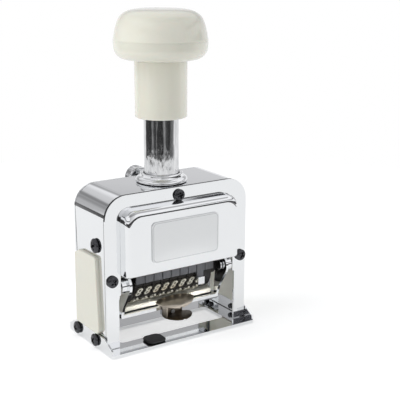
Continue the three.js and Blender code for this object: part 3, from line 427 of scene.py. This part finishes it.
def fresh_vertex(name):
    """A new object with a single vertex, left in edit mode."""
    bpy.ops.object.select_all(action="DESELECT")
    bpy.ops.mesh.primitive_plane_add(size=mm)
    piece = bpy.context.active_object
    piece.name = piece.data.name = name
    bpy.ops.object.mode_set(mode="EDIT")
    bpy.ops.mesh.select_mode(type="VERT")
    bpy.ops.mesh.select_all(action="SELECT")
    bpy.ops.mesh.merge(type="CENTER")
    return piece


def draw(points):
    """Pushes the vertex along the points, which are in metres."""
    here = Vector(points[0])
    bpy.ops.transform.translate(value=here)
    for point in points[1:]:
        step = Vector(point) - here
        bpy.ops.mesh.extrude_vertices_move(TRANSFORM_OT_translate={"value": step})
        here = here + step


def rounded(corners, steps=8):
    """Points of an outline whose corners (u, w, radius) are rounded off, in millimetres."""
    points = []
    for i, (u, w, r) in enumerate(corners):
        here = Vector((u, w))
        if r == 0:
            points.append((u, w))
            continue
        before = (Vector(corners[i - 1][:2]) - here).normalized()
        after = (Vector(corners[(i + 1) % len(corners)][:2]) - here).normalized()
        half = before.angle(after) / 2
        middle = here + (before + after).normalized() * (r / sin(half))
        first = here + before * (r / tan(half)) - middle
        last = here + after * (r / tan(half)) - middle
        start = atan2(first.y, first.x)
        turn = (atan2(last.y, last.x) - start + pi) % (2 * pi) - pi
        for k in range(steps + 1):
            at = start + turn * k / steps
            points.append((middle.x + r * cos(at), middle.y + r * sin(at)))
    return points


def oblong(left, right, low, high, radius, steps=8):
    """Outline of a rectangle with rounded corners, in millimetres."""
    corners = ((left, low), (right, low), (right, high), (left, high))
    return rounded([(*corner, radius) for corner in corners], steps)


def in_mm(corners):
    """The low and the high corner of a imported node's box, in millimetres."""
    return [[length / mm for length in corner] for corner in corners]


def plate(name, points, plane, start, depth):
    """A plate cut along an outline in the XZ, YZ or XY plane, pulled from start by depth, in millimetres."""
    space = {
        "XZ": lambda u, w: Vector((u, start, w)) * mm,
        "YZ": lambda u, w: Vector((start, u, w)) * mm,
        "XY": lambda u, w: Vector((u, w, start)) * mm,
    }[plane]
    pull = {"XZ": (0, depth, 0), "YZ": (depth, 0, 0), "XY": (0, 0, depth)}[plane]
    piece = fresh_vertex(name)
    draw([space(u, w) for u, w in points])
    bpy.ops.mesh.select_all(action="SELECT")
    bpy.ops.mesh.edge_face_add()
    bpy.ops.mesh.extrude_region_move(TRANSFORM_OT_translate={"value": Vector(pull) * mm})
    bpy.ops.mesh.select_all(action="SELECT")
    bpy.ops.mesh.normals_make_consistent(inside=False)
    bpy.ops.object.mode_set(mode="OBJECT")
    return piece


def turn_on_lathe(name, profile, centre, steps):
    """A turned piece: a profile of (radius, height) in millimetres, spun round an upright axis."""
    middle = Vector((*centre, 0)) * mm
    piece = fresh_vertex(name)
    draw([middle + Vector((r, 0, z)) * mm for r, z in profile])
    bpy.ops.mesh.select_all(action="SELECT")
    bpy.ops.mesh.spin(steps=steps, angle=2 * pi, center=middle, axis=(0, 0, 1))
    bpy.ops.mesh.select_all(action="SELECT")
    bpy.ops.mesh.remove_doubles(threshold=weld)
    bpy.ops.mesh.normals_make_consistent(inside=False)
    bpy.ops.object.mode_set(mode="OBJECT")
    return piece


# %% [markdown]
# Sharp edges catch no light, so each edge gets a small bevel. Faces that meet at less than a set angle are
# then shaded as one surface. Holes are cut with a second body and the Boolean modifier, which is applied at
# once.

# %% Finishing helpers
def only(piece):
    """Selects one piece and makes it active."""
    bpy.ops.object.select_all(action="DESELECT")
    piece.select_set(True)
    bpy.context.view_layer.objects.active = piece


def opened(piece, chosen=None, part="FACE"):
    """Opens a piece in edit mode with all of it selected, or the faces or vertices that chosen picks."""
    only(piece)
    bpy.ops.object.mode_set(mode="EDIT")
    bpy.ops.mesh.select_mode(type=part)
    bpy.ops.mesh.select_all(action="DESELECT" if chosen else "SELECT")
    if chosen:
        bpy.ops.object.mode_set(mode="OBJECT")
        for item in piece.data.polygons if part == "FACE" else piece.data.vertices:
            item.select = bool(chosen(item))
        bpy.ops.object.mode_set(mode="EDIT")


def closed():
    """Leaves edit mode."""
    bpy.ops.object.mode_set(mode="OBJECT")


def modified(piece, kind, **settings):
    """Adds a modifier to a piece and applies it."""
    only(piece)
    tool = piece.modifiers.new(kind.lower(), kind)
    for setting, value in settings.items():
        setattr(tool, setting, value)
    bpy.ops.object.modifier_apply(modifier=tool.name)


def bevel_edges(piece, width, steps=2, angle=30):
    """Rounds the edges that are sharper than the angle."""
    modified(piece, "BEVEL", width=width * mm, segments=steps, limit_method="ANGLE",
             angle_limit=radians(angle))


def cut(piece, cutter):
    """Takes the cutter's shape out of the piece."""
    modified(piece, "BOOLEAN", operation="DIFFERENCE", object=cutter)
    bpy.data.objects.remove(cutter)


def rod(radius, length, place, turn, sides=32):
    """A round bar, to keep or to cut a bore with: radius and length in millimetres, place in metres."""
    bpy.ops.object.select_all(action="DESELECT")
    bpy.ops.mesh.primitive_cylinder_add(vertices=sides, radius=radius * mm, depth=length * mm, rotation=turn,
                                        location=place)
    return bpy.context.active_object


def shade(piece, angle=35):
    """Shades shallow edges smooth, leaves the others sharp, and keeps the large faces flat."""
    only(piece)
    bpy.ops.object.shade_smooth_by_angle(angle=radians(angle))
    modified(piece, "WEIGHTED_NORMAL", keep_sharp=True)


# %% Helpers for placing
def settle(piece, body, slot, material, *nodes):
    """Gives a piece its finish and the body it rides on, hides the nodes it stands for; the slot is not used.
    """
    piece.data.materials.clear()
    piece.data.materials.append(material)
    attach(piece, body)
    if nodes:
        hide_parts(*nodes)
    return piece


def copy_at(piece, name, move):
    """A copy with its own mesh, moved by a matrix, with its place in the mesh."""
    made = bpy.data.objects.new(name, piece.data.copy())
    made.data.name = name
    made.data.transform(move)
    bpy.context.scene.collection.objects.link(made)
    return made


def softened(node, width, slot, material, steps=2):
    """A copy of a CAD node with its triangles merged into whole faces and its edges rounded."""
    source = frame["nodes"][node]
    piece = bpy.data.objects.new(node + "_shown", source.data.copy())
    bpy.context.scene.collection.objects.link(piece)
    opened(piece)
    bpy.ops.mesh.remove_doubles(threshold=weld)
    bpy.ops.mesh.dissolve_limited(angle_limit=radians(1))
    closed()
    bevel_edges(piece, width, steps)
    shade(piece)
    return settle(piece, source["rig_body"], slot, material, node)


# %% [markdown]
# ## Knob
#
# The knob is moulded in two halves: a domed cap, and a sleeve that widens into the underside, with a fine
# parting line between them. Both are turned from half outlines. The dome has no flat part, so more points
# are set on a smooth line through the measured ones. Sculpting would be slower and less even.

# %% Knob cap and sleeve
def eased(points, steps=4):
    """More points on a smooth line through the given ones."""
    line = []
    for i in range(len(points) - 1):
        around = [Vector(points[max(min(i + k, len(points) - 1), 0)]) for k in (-1, 0, 1, 2)]
        for k in range(steps):
            t = k / steps
            line.append(tuple(
                0.5 * (2 * around[1] + (around[2] - around[0]) * t
                       + (2 * around[0] - 5 * around[1] + 4 * around[2] - around[3]) * t ** 2
                       + (3 * around[1] - around[0] - 3 * around[2] + around[3]) * t ** 3)
            ))
    return line + [tuple(points[-1])]


centre, fine_steps = (0, mid_y), 128
dome = [(20.23, 130.4), (20.1, 131.0), (19.5, 134.2), (18.6, 137.3), (17.4, 139.6), (15.7, 141.1),
        (13.4, 142.2), (10.0, 142.8), (5.5, 143.05), (0, 143.1)]
cap_line = [(0, 129.76), (20.22, 129.76), (20.23, 129.78)] + eased(dome)
knob_cap = turn_on_lathe("knob_cap_dome", cap_line, centre, fine_steps)
shade(knob_cap, 40)
settle(knob_cap, "plunger", "ivory_plastic", ivory_moulding, "knob_cap")
underside = [(11.4, 121.75), (11.6, 121.82), (14.0, 121.92), (16.4, 122.25), (18.2, 123.2), (19.6, 125.0),
             (20.15, 127.0), (20.24, 129.5)]
sleeve_line = [(0, 125.8), (7.9, 125.8), (7.9, 97.2), (10.95, 97.2), (11.25, 97.35), (11.37, 97.7),
               (11.3, 98.1)]
sleeve_line += eased(underside) + [(20.24, 129.72), (20.23, 129.74), (0, 129.74)]
knob_sleeve = turn_on_lathe("knob_sleeve_turned", sleeve_line, centre, fine_steps)
shade(knob_sleeve, 40)
settle(knob_sleeve, "plunger", "ivory_plastic", ivory_moulding, "knob_sleeve")

# %% [markdown]
# ## Tube and collar
#
# The tube is drawn, ground and chromed, so it is a plain ring with broken edges and one keyway at the back.
# The collar is turned: a flange with a rounded step, and a neck that guides the tube. Cylinders could be
# bevelled into both, but the lathe gives every step of the outline at once.

# %% Tube and collar
tube = turn_on_lathe("plunger_tube_ground", [
    (6.5, 64.4), (7.45, 64.4), (7.6, 64.55), (7.6, 125.35), (7.45, 125.5), (6.5, 125.5), (6.5, 64.4),
], centre, fine_steps)
keyway = rounded([(-1.5, 64.0, 0), (1.5, 64.0, 0), (1.5, 84.5, 1.4), (-1.5, 84.5, 1.4)])
cut(tube, plate("keyway_cutter", keyway, "XZ", mid_y + 3, 6))
shade(tube)
settle(tube, "plunger", "chrome", ground_chrome, "plunger_tube")
collar = turn_on_lathe("top_collar_turned", [
    (8.0, 69.0), (11.25, 69.0), (11.45, 69.15), (11.5, 69.5), (11.42, 69.95), (11.15, 70.4), (10.7, 70.75),
    (10.1, 70.95), (9.75, 71.1), (9.6, 71.4), (9.55, 72.1), (9.4, 72.5), (9.05, 72.7), (8.3, 72.7),
    (8.0, 72.5), (8.0, 69.0),
], centre, fine_steps)
shade(collar, 28)
settle(collar, "frame", "chrome", turned_chrome, "top_collar")
print("tube", len(tube.data.polygons), "faces")

# %% [markdown]
# ## Frame strap, back cover and base
#
# These are sheet metal parts whose holes and windows must fit their neighbours, so a copy of the packed
# mesh is the best start. Its triangles are merged into whole faces, and the edges get the small radius that
# tumbling and plating leave on a stamped part.

# %% Sheet parts from the frame
strap = softened("frame_strap", 0.28, "chrome", polished_chrome, steps=3)
softened("back_cover", 0.25, "chrome", polished_chrome, steps=3)
base = softened("base_plate", 0.2, "chrome", polished_chrome, steps=3)
print("strap", len(strap.data.polygons), "faces, base", len(base.data.polygons), "faces")

# %% [markdown]
# ## Front cover
#
# The cover is an arch of flat sheet round a raised panel that was pressed in the same stroke. The panel's
# wall leaves the arch almost square and rolls over into a flat face. The roll is what catches the light, so
# it is made of many narrow steps: the outline is extruded forward and drawn in a little each time. A bevel
# would give the same radius on all four sides, and here the top is wider than the bottom.

# %% Arch of the front cover
cover_low, cover_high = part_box("front_cover")
cover_face, cover_thick, cover_half, cover_foot, cover_top = mid_y - 14, 1, 36, 1.9, 68.7
outline_half, outline_high, screw_hole = 28.95, 62.8, 1.4
arch_outline = rounded([
    (-cover_half, cover_foot, 0), (-cover_half, cover_top, 10), (cover_half, cover_top, 10),
    (cover_half, cover_foot, 0), (30, cover_foot, 0), (30, 25.2, 0.4), (29, 25.2, 0.4),
    (outline_half, outline_high, 6), (-outline_half, outline_high, 6),
    (-29, 25.2, 0.4), (-30, 25.2, 0.4), (-30, cover_foot, 0),
], steps=14)
arch = plate("front_cover_arch", arch_outline, "XZ", cover_face, cover_thick)
for x, z in ((0, 65.2), (-33.1, 32.2), (33.1, 32.2)):
    cut(arch, rod(screw_hole, 4, Vector((x, cover_face, z)) * mm, (pi / 2, 0, 0)))
bevel_edges(arch, 0.25, 3)
shade(arch)
settle(arch, "frame", "chrome", polished_chrome, "front_cover")
# Painted seam shade: the rim faces of the arch that meet the strap get the dark edge finish
arch.data.materials.append(dull_edge_seam_shade)
for face in arch.data.polygons:
    on_strap_seam = face.center.z > 62.9 * mm or (abs(face.center.x) > 33 * mm and face.center.z > 57 * mm)
    if abs(face.normal.y) < 0.3 and on_strap_seam:
        face.material_index = 1
print("arch from", [round(n / mm, 1) for n in cover_low], "to", [round(n / mm, 1) for n in cover_high])

# %% Raised panel
outline_low, drawn_side, drawn_low, drawn_high = 33.4, 2.1, 1.1, 2.9
wall_depth, roll_depth, wall_share = 2.4, 3.1, 0.06
levels = [(wall_depth * k / 3, wall_share * k / 3) for k in range(4)]
levels += [(wall_depth + roll_depth * sin(radians(a)),
            wall_share + (1 - wall_share) * (1 - cos(radians(a)))) for a in range(10, 91, 10)]


def panel_frame(depth, share):
    """Half width, bottom, top and place of the panel's outline at a depth."""
    half = outline_half - drawn_side * share
    low, high = outline_low + drawn_low * share, outline_high - drawn_high * share
    return half, low, high, Vector((0, cover_face - depth, (low + high) / 2))


panel = plate("front_cover_panel", rounded([
    (-outline_half, outline_low, 1.2), (outline_half, outline_low, 1.2), (outline_half, outline_high, 6),
    (-outline_half, outline_high, 6),
], steps=12), "XZ", cover_face + 0.6, -0.2)
front_y = (cover_face + 0.4) * mm
opened(panel, lambda face: abs(face.normal.y) > 0.9 and abs(face.center.y - front_y) < 0.01 * mm)
before = panel_frame(-0.4, 0)
for depth, share in levels:
    now = panel_frame(depth, share)
    bpy.ops.mesh.extrude_region_move(TRANSFORM_OT_translate={"value": (now[3] - before[3]) * mm})
    grown = (now[0] / before[0], 1, (now[2] - now[1]) / (before[2] - before[1]))
    bpy.ops.transform.resize(value=grown, center_override=now[3] * mm)
    before = now
bpy.ops.mesh.inset(thickness=0.35 * mm, depth=0)
bpy.ops.mesh.select_all(action="SELECT")
bpy.ops.mesh.normals_make_consistent(inside=False)
closed()
opened(panel, lambda face: face.normal.y > 0.99)
bpy.ops.mesh.delete(type="FACE")
closed()
modified(panel, "SOLIDIFY", thickness=cover_thick * mm, offset=-1)
shade(panel, 32)
settle(panel, "frame", "chrome", polished_chrome, "front_cover")
print("panel", len(panel.data.polygons), "faces")

# %% [markdown]
# ## Label plate
#
# A thin enamelled plate on the panel, with the fine border line that such plates have. The line is a narrow
# ring that stands out by a few hundredths of a millimetre, cut from one plate by a smaller one. A texture
# could draw it, but would have no edge to catch the light.

# %% Label plate
(_, label_front, _), (_, label_back, _) = in_mm(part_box("label_plate"))
label_half, label_low, label_high, label_corner = 16.85, 38.7, 56.6, 2
line_outside, line_inside = 0.45, 0.62


def label_outline(inset):
    """The label's outline, drawn in by an inset."""
    return oblong(-label_half + inset, label_half - inset, label_low + inset, label_high - inset,
                  label_corner - inset * 0.6)


label_depth = label_back - label_front + 0.2
label = plate("label_plate_enamelled", label_outline(0), "XZ", label_front + 0.05, label_depth)
bevel_edges(label, 0.08, 2)
shade(label)
settle(label, "frame", "label_face", label_enamel, "label_plate")
line = plate("label_border", label_outline(line_outside), "XZ", label_front + 0.02, 0.1)
cut(line, plate("border_cutter", label_outline(line_inside), "XZ", label_front - 0.2, 1))
settle(line, "frame", "label_face", label_line, "label_plate")
print("label", 2 * label_half, "mm wide")

# %% [markdown]
# ## Screws
#
# Eleven domed cross-head screws hold the sheets together. One is turned, its recess is cut with two crossed
# bars, and copies are laid along each screw's own axis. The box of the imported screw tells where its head
# ends and how wide it is. Linked copies would be lighter, but each screw needs its own mesh at its own
# place.

# %% One screw
head_radius, head_height, rim_height, recess_reach, recess_half = 2.6, 1.5, 0.42, 1.5, 0.38
head = [(0, -3.6), (0.95, -3.6), (1.05, -3.5), (1.05, 0), (2.45, 0), (2.58, 0.1), (head_radius, 0.4)]
head += [(head_radius * cos(radians(a)),
          rim_height + (head_height - rim_height) * sin(radians(a))) for a in range(10, 90, 10)]
screw = turn_on_lathe("domed_screw", head + [(0, head_height)], (0, 0), 40)
recess = oblong(-recess_reach, recess_reach, -recess_half, recess_half, 0.2, 2)
for quarter in (0, 1):
    bar = plate("recess_cutter", recess, "XY", 0.35, 2)
    bar.data.transform(Matrix.Rotation(quarter * pi / 2, 4, "Z"))
    cut(screw, bar)
bevel_edges(screw, 0.06, 2, 40)
shade(screw, 30)
print("screw", len(screw.data.polygons), "faces")


# %% All screws
def set_screw(node, out, spin):
    """Lays a copy of the screw on a packed screw, with its head towards out."""
    low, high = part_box(node)
    out = Vector(out)
    centre_of = (low + high) / 2
    top = max(low.dot(out), high.dot(out))
    seat = centre_of + out * (top - head_height * mm - centre_of.dot(out))
    across = [high[k] - low[k] for k in range(3) if abs(out[k]) < 0.5]
    wide = max(across) / (2 * head_radius * mm)
    turn = out.to_track_quat("Z", "Y").to_matrix().to_4x4() @ Matrix.Rotation(radians(spin), 4, "Z")
    grown = Matrix.Diagonal((wide, wide, 1, 1))
    piece = copy_at(screw, node + "_domed", Matrix.Translation(seat) @ turn @ grown)
    settle(piece, "frame", "black_screw", oil_black, node)


spins = iter((12, 38, 64, 5, 71, 25, 52, 80, 33, 16, 47))
for node in ("front_top", "front_left", "front_right"):
    set_screw("screw_" + node, (0, -1, 0), next(spins))
for node in ("back_left", "back_right"):
    set_screw("screw_" + node, (0, 1, 0), next(spins))
for side, out in (("left", (-1, 0, 0)), ("right", (1, 0, 0))):
    for node in ("side_" + side, "cheek_" + side + "_front", "cheek_" + side + "_back"):
        set_screw("screw_" + node, out, next(spins))
bpy.data.objects.remove(screw)

# %% [markdown]
# ## Side plates
#
# Ivory plates fill the windows in the walls. Each is moulded with soft edges, so the outline gets rounded
# corners and the edges a wide bevel. A scaled cube would be quicker, but the plate narrows towards its top
# and its foot.

# %% Side plates
plate_outline = rounded([(-9.2 + mid_y, 9.0, 0.8), (-7.5 + mid_y, 7.2, 0.8), (11.7 + mid_y, 7.2, 0.5),
                         (11.7 + mid_y, 39.3, 1.2), (7.6 + mid_y, 41.4, 1.2), (-7.3 + mid_y, 41.8, 1.2)], 5)
moulding_depth = 3.5
for side, start in (("left", -37.7), ("right", 34.2)):
    piece = plate("side_plate_" + side + "_moulded", plate_outline, "YZ", start, moulding_depth)
    bevel_edges(piece, 0.45, 4, 50)
    shade(piece, 40)
    settle(piece, "frame", "ivory_plastic", ivory_moulding, "side_plate_" + side)
print("side plates", len(piece.data.polygons), "faces each")

# %% [markdown]
# ## Type wheels
#
# Each wheel is a ten-sided drum with a raised figure on every flat. The figures 0 to 9 are what the machine
# prints, cut as mirror writing. Text laid flat under the wheel, as it would stand on the paper, is mirrored
# for an eye below it, so nothing has to be flipped. One wheel is made, and copied along the shaft.

# %% One drum
(wheel_x0, wheel_y0, wheel_z0), (wheel_x1, wheel_y1, wheel_z1) = in_mm(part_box("type_wheel_1"))
wheel_x, wheel_y, wheel_z = (wheel_x0 + wheel_x1) / 2, (wheel_y0 + wheel_y1) / 2, (wheel_z0 + wheel_z1) / 2
axle = Vector((wheel_x, wheel_y, wheel_z)) * mm
drum_radius, notch_radius, figure_step, shaft_bore = 8.98, 8.55, 36, 2.9
notch = ((-3.2, drum_radius), (-1.6, notch_radius), (1.6, notch_radius), (3.2, drum_radius))
drum_points = []
for k in range(10):
    corner = -90 + figure_step * (k + 0.5)
    for offset, radius in notch:
        at = radians(corner + offset)
        drum_points.append((wheel_y + radius * cos(at), wheel_z + radius * sin(at)))
drum = plate("type_drum", drum_points, "YZ", wheel_x0, wheel_x1 - wheel_x0)
cut(drum, rod(shaft_bore, 9, axle, (0, pi / 2, 0), 48))
bevel_edges(drum, 0.16, 2, 25)
shade(drum, 20)
print("drum at", round(wheel_x, 2), "mm,", round(wheel_x1 - wheel_x0, 2), "mm wide")


# %% Ten figures round the drum
def about(point, move):
    """A matrix that turns or stretches about a point."""
    return Matrix.Translation(point) @ move @ Matrix.Translation(-point)


figure_size, figure_lean, figure_rise, figures_across, figure_back = 6.2, -0.42, 0.42, 4.2, 0.8
figure_edge, figure_weight, figure_stretch = 0.03, 0.04, (1.2, 0.84, 1, 1)
figures = []
for number in range(10):
    bpy.ops.object.select_all(action="DESELECT")
    bpy.ops.object.text_add(location=(wheel_x * mm, wheel_y * mm, (wheel_z - drum_radius) * mm))
    figure = bpy.context.active_object
    text = figure.data
    text.body = str(number)
    text.size = figure_size * mm
    text.shear = figure_lean
    text.extrude = figure_rise * mm
    text.bevel_depth = figure_edge * mm
    text.offset = figure_weight * mm
    text.resolution_u = 4
    text.align_x = text.align_y = "CENTER"
    bpy.ops.object.convert(target="MESH")
    bpy.ops.object.transform_apply(location=True, rotation=True, scale=True)
    widened = about(Vector((wheel_x * mm, wheel_y * mm, 0)), Matrix.Diagonal(figure_stretch))
    round_axle = about(axle, Matrix.Rotation(radians(figure_step * number), 4, "X"))
    figure.data.transform(round_axle @ Matrix.Translation((0, -figure_back * mm, 0)) @ widened)
    figures.append(figure)
only(figures[0])
for figure in figures:
    figure.select_set(True)
bpy.ops.object.join()
ring = bpy.context.active_object
opened(ring)
bpy.ops.mesh.remove_doubles(threshold=weld)
bpy.ops.mesh.normals_make_consistent(inside=False)
closed()
across = [v.co.x for v in ring.data.vertices]
middle = Vector(((min(across) + max(across)) / 2, 0, 0))
fit = figures_across * mm / (max(across) - min(across))
ring.data.transform(Matrix.Translation((wheel_x * mm, 0, 0)) @ Matrix.Diagonal((fit, 1, 1, 1))
                    @ Matrix.Translation(-middle))
shade(ring)
print("figures", len(ring.data.polygons), "faces, narrowed to", round(fit, 2))

# %% Eight wheels
for i in range(8):
    node = "type_wheel_" + str(i + 1)
    body = frame["nodes"][node]["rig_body"]
    move = Matrix.Translation(Vector((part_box(node)[0].x - wheel_x0 * mm, 0, 0)))
    settle(copy_at(drum, node + "_drum", move), body, "type_wheel", type_metal, node)
    settle(copy_at(ring, node + "_figures", move), body, "type_wheel", figure_metal, node)
bpy.data.objects.remove(drum)
bpy.data.objects.remove(ring)
print("type wheels dressed")

# %% [markdown]
# ## Carriage, shaft and fingers
#
# The carriage, its nuts, the comb of spring fingers and the pawl frame are blackened steel, worn in their
# corners by tumbling. They could be drawn again, but little of them shows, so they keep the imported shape,
# with broken edges.

# %% Carriage pieces
for node, width, slot, material in (
    ("carriage_yoke", 0.25, "black_steel", black_steel),
    ("shaft_nut_left", 0.2, "black_steel", black_steel),
    ("shaft_nut_right", 0.2, "black_steel", black_steel),
    ("pawl_frame", 0.18, "black_steel", black_steel),
    ("detent_comb", 0.1, "blued_comb", blued_steel),
    ("stop_finger", 0.14, "satin_metal", satin_chrome),
    ("wheel_shaft", 0.2, "steel", turned_steel),
):
    softened(node, width, slot, material)
print("carriage dressed")

# %% [markdown]
# ## Ink pad frame, tray and felt
#
# The pad hangs in a chromed frame that swings on two studs. The felt is uninked: a soft block with slightly
# rounded edges and a faint nap. It is a flat pad, so a few small moves of its top are enough, and no cloth
# has to be simulated.

# %% Pad frame, studs and tray
softened("pad_frame", 0.22, "chrome", polished_chrome, steps=3)
softened("pad_stud_left", 0.2, "satin_metal", satin_chrome)
softened("pad_stud_right", 0.2, "satin_metal", satin_chrome)
(tray_left, tray_front, tray_base), (tray_right, tray_back, _) = in_mm(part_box("pad_tray"))
tray_thick = 0.6
tray = plate("pad_tray_pressed", oblong(tray_left, tray_right, tray_front, tray_back, 1, 5), "XY", tray_base,
             tray_thick)
bevel_edges(tray, 0.15, 2, 60)
shade(tray)
settle(tray, "pad", "black_rubber", black_rubber, "pad_tray")
print("pad frame dressed")

# %% Felt pad
(felt_left, _, _), (felt_right, felt_back, felt_top) = in_mm(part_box("ink_pad"))
felt_front, felt_seat, felt_swell = tray_front + 0.1, tray_base + tray_thick + 0.05, 0.3
felt = plate("ink_pad_felt", oblong(felt_left, felt_right, felt_front, felt_back, 1, 5), "XY", felt_seat,
             felt_top + felt_swell - felt_seat)
bevel_edges(felt, 0.28, 3, 60)
opened(felt)
bpy.ops.mesh.quads_convert_to_tris()
bpy.ops.mesh.subdivide(number_cuts=3)
closed()
nap = bpy.data.textures.new("nap", "CLOUDS")
nap.noise_scale = 1.6 * mm
modified(felt, "DISPLACE", texture=nap, texture_coords="LOCAL", strength=0.10 * mm, mid_level=0.75)
shade(felt, 60)
settle(felt, "pad", "pad_felt", pad_felt, "ink_pad")
print("felt", len(felt.data.polygons), "faces")

# %% [markdown]
# ## Finger clip
#
# Two leaves are pinched between thumb and finger to lift the pad out. They are bent from one strip of dull
# nickel brass. A grid is shaped row by row: each row is squeezed to the leaf's width there and moved to its
# height, then the columns are lowered towards the sides for a slight crown. Solidify gives the sheet its
# thickness.

# %% Leaves of the clip
clip_thick = 0.6


def leaf(name, rows, crown, columns=14):
    """A bent leaf from rows of (y, half width, z, middle x) in millimetres, from its root to its tip."""
    bpy.ops.object.select_all(action="DESELECT")
    count = len(rows)
    bpy.ops.mesh.primitive_grid_add(x_subdivisions=columns, y_subdivisions=count - 1, size=2 * mm)
    piece = bpy.context.active_object
    piece.name = piece.data.name = name
    rest = [v.co.copy() for v in piece.data.vertices]
    for i, (y, half, z, middle) in enumerate(rows):
        at = (-1 + 2 * i / (count - 1)) * mm
        opened(piece, lambda v: abs(rest[v.index].y - at) < 0.001 * mm, "VERT")
        bpy.ops.transform.resize(value=(half, 1, 1), center_override=(0, at, 0))
        bpy.ops.transform.translate(value=Vector((middle * mm, y * mm - at, z * mm)))
        closed()
    for k in range(columns + 1):
        across = -1 + 2 * k / columns
        opened(piece, lambda v: abs(rest[v.index].x - across * mm) < 0.001 * mm, "VERT")
        bpy.ops.transform.translate(value=(0, 0, -crown * across ** 2 * mm))
        closed()
    modified(piece, "SOLIDIFY", thickness=clip_thick * mm, offset=-1)
    bevel_edges(piece, 0.12, 2, 50)
    shade(piece, 50)
    return piece


bend_start, bend_angles = -9.8, [radians(a) for a in (12, 24, 36, 48, 58, 67, 75, 82)]


def bend(reach, half, top, drop, power, middle):
    """Rows of the curved end of a leaf, which is half an oval seen from above and drops towards its tip."""
    return [(bend_start - reach * sin(a), half * cos(a) + 0.15, top - drop * sin(a) ** power, middle)
            for a in bend_angles]


upper_rows = [(-8.3, 7.0, 17.1, 0), (-9.0, 8.6, 17.0, 0), (bend_start, 9.5, 16.75, 0)]
upper_rows += bend(6.2, 9.6, 16.75, 1.9, 1.6, 0) + [(-16.0, 1.1, 14.6, 0)]
lower_rows = [(-8.3, 5.2, 8.9, 0), (-9.0, 6.2, 8.85, 1.0), (bend_start, 6.9, 8.75, 1.5)]
lower_rows += bend(6.3, 6.9, 8.75, 0.4, 2, 1.6) + [(-16.15, 0.9, 8.3, 1.6)]
for name, rows, crown in (("pad_clip_upper_leaf", upper_rows, 0.7), ("pad_clip_lower_leaf", lower_rows, 0.3)):
    rows = [(y + mid_y, half, z, middle) for y, half, z, middle in rows]
    settle(leaf(name, rows, crown), "pad", "bronze", clip_nickel, "pad_clip")
print("leaves bent")

# %% Wall and web of the clip
clip_side, wall_face = -5.2, mid_y - 8.1
wall_outline = oblong(clip_side, -clip_side, 8.6, 16.9, 0.4, 3)
back_wall = plate("pad_clip_wall", wall_outline, "XZ", wall_face - clip_thick, clip_thick)
web = plate("pad_clip_web", rounded([(wall_face - 4.2, 8.4, 0.5), (wall_face, 8.4, 0), (wall_face, 16.6, 0),
                                     (wall_face - 4.2, 16.2, 0.5)], 3), "YZ", clip_side, clip_thick)
for piece in (back_wall, web):
    bevel_edges(piece, 0.12, 2)
    shade(piece)
    settle(piece, "pad", "bronze", clip_nickel, "pad_clip")
softened("clip_rivet_low", 0.1, "steel", turned_steel)
softened("clip_rivet_high", 0.1, "steel", turned_steel)
print("clip wall", round(-2 * clip_side, 1), "mm wide")

# %% [markdown]
# ## Buffer, lock button and hidden pieces
#
# The buffer on the front bar is moulded rubber. The lock button behind the top is turned, and its grip is a
# ring of grooves: every fourth strip of the rim is pushed inwards. A bump would show grooves too, but not
# in the outline. The pieces inside only need a finish and broken edges.

# %% Buffer
(block_left, block_front, block_low), (block_right, block_back, block_high) = in_mm(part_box("base_buffer"))
block_corner = 2.6
block_outline = oblong(block_left, block_right, block_front, block_back, block_corner, 6)
buffer_pad = plate("base_buffer_moulded", block_outline, "XY", block_low, block_high - block_low)
bevel_edges(buffer_pad, 0.3, 3, 60)
shade(buffer_pad, 40)
settle(buffer_pad, "frame", "black_rubber", black_rubber, "base_buffer")
print("buffer", round(block_right - block_left, 1), "mm")

# %% Lock button
(_, knob_front, knob_low), (_, knob_back, knob_high) = in_mm(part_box("lock_knob"))
lock_place = Vector((0, (knob_front + knob_back) / 2, (knob_low + knob_high) / 2)) * mm
lock_long, lock_radius, lock_round, pin_hole = knob_back - knob_front, 5.2, 0.8, 1.4
strips, groove_depth = 96, 0.22
button = rod(lock_radius, lock_long, (0, 0, 0), (0, 0, 0), strips)
button.name = button.data.name = "lock_knob_knurled"
opened(button, lambda face: abs(face.normal.z) > 0.9)
bpy.ops.mesh.bevel(offset=lock_round * mm, segments=4, affect="EDGES")
closed()
opened(button, lambda face: abs(face.normal.z) < 0.05 and round(
    degrees(atan2(face.center.y, face.center.x)) / (360 / strips) + 0.5) % 4 == 0)
bpy.ops.mesh.extrude_faces_move(TRANSFORM_OT_shrink_fatten={"value": -groove_depth * mm})
closed()
button.data.transform(Matrix.Translation(lock_place) @ Matrix.Rotation(pi / 2, 4, "X"))
cut(button, rod(pin_hole, lock_long, (0, knob_front * mm, lock_place.z), (pi / 2, 0, 0)))
shade(button, 30)
settle(button, "lock", "chrome", ground_chrome, "lock_knob")
softened("lock_bush", 0.25, "satin_metal", satin_chrome)
softened("lock_pin", 0.15, "steel", turned_steel)
print("button", round(lock_long, 1), "mm long")

# %% Pieces inside
for node, slot, material in (
    ("cross_plate", "steel", turned_steel),
    ("tube_plug", "steel", turned_steel),
    ("plunger_rod", "steel", turned_steel),
    ("rod_bumper", "black_rubber", black_rubber),
):
    softened(node, 0.2, slot, material)
main_spring = frame["nodes"]["main_spring"]
main_spring.data.materials.clear()
main_spring.data.materials.append(spring_wire)
print("inside pieces finished")
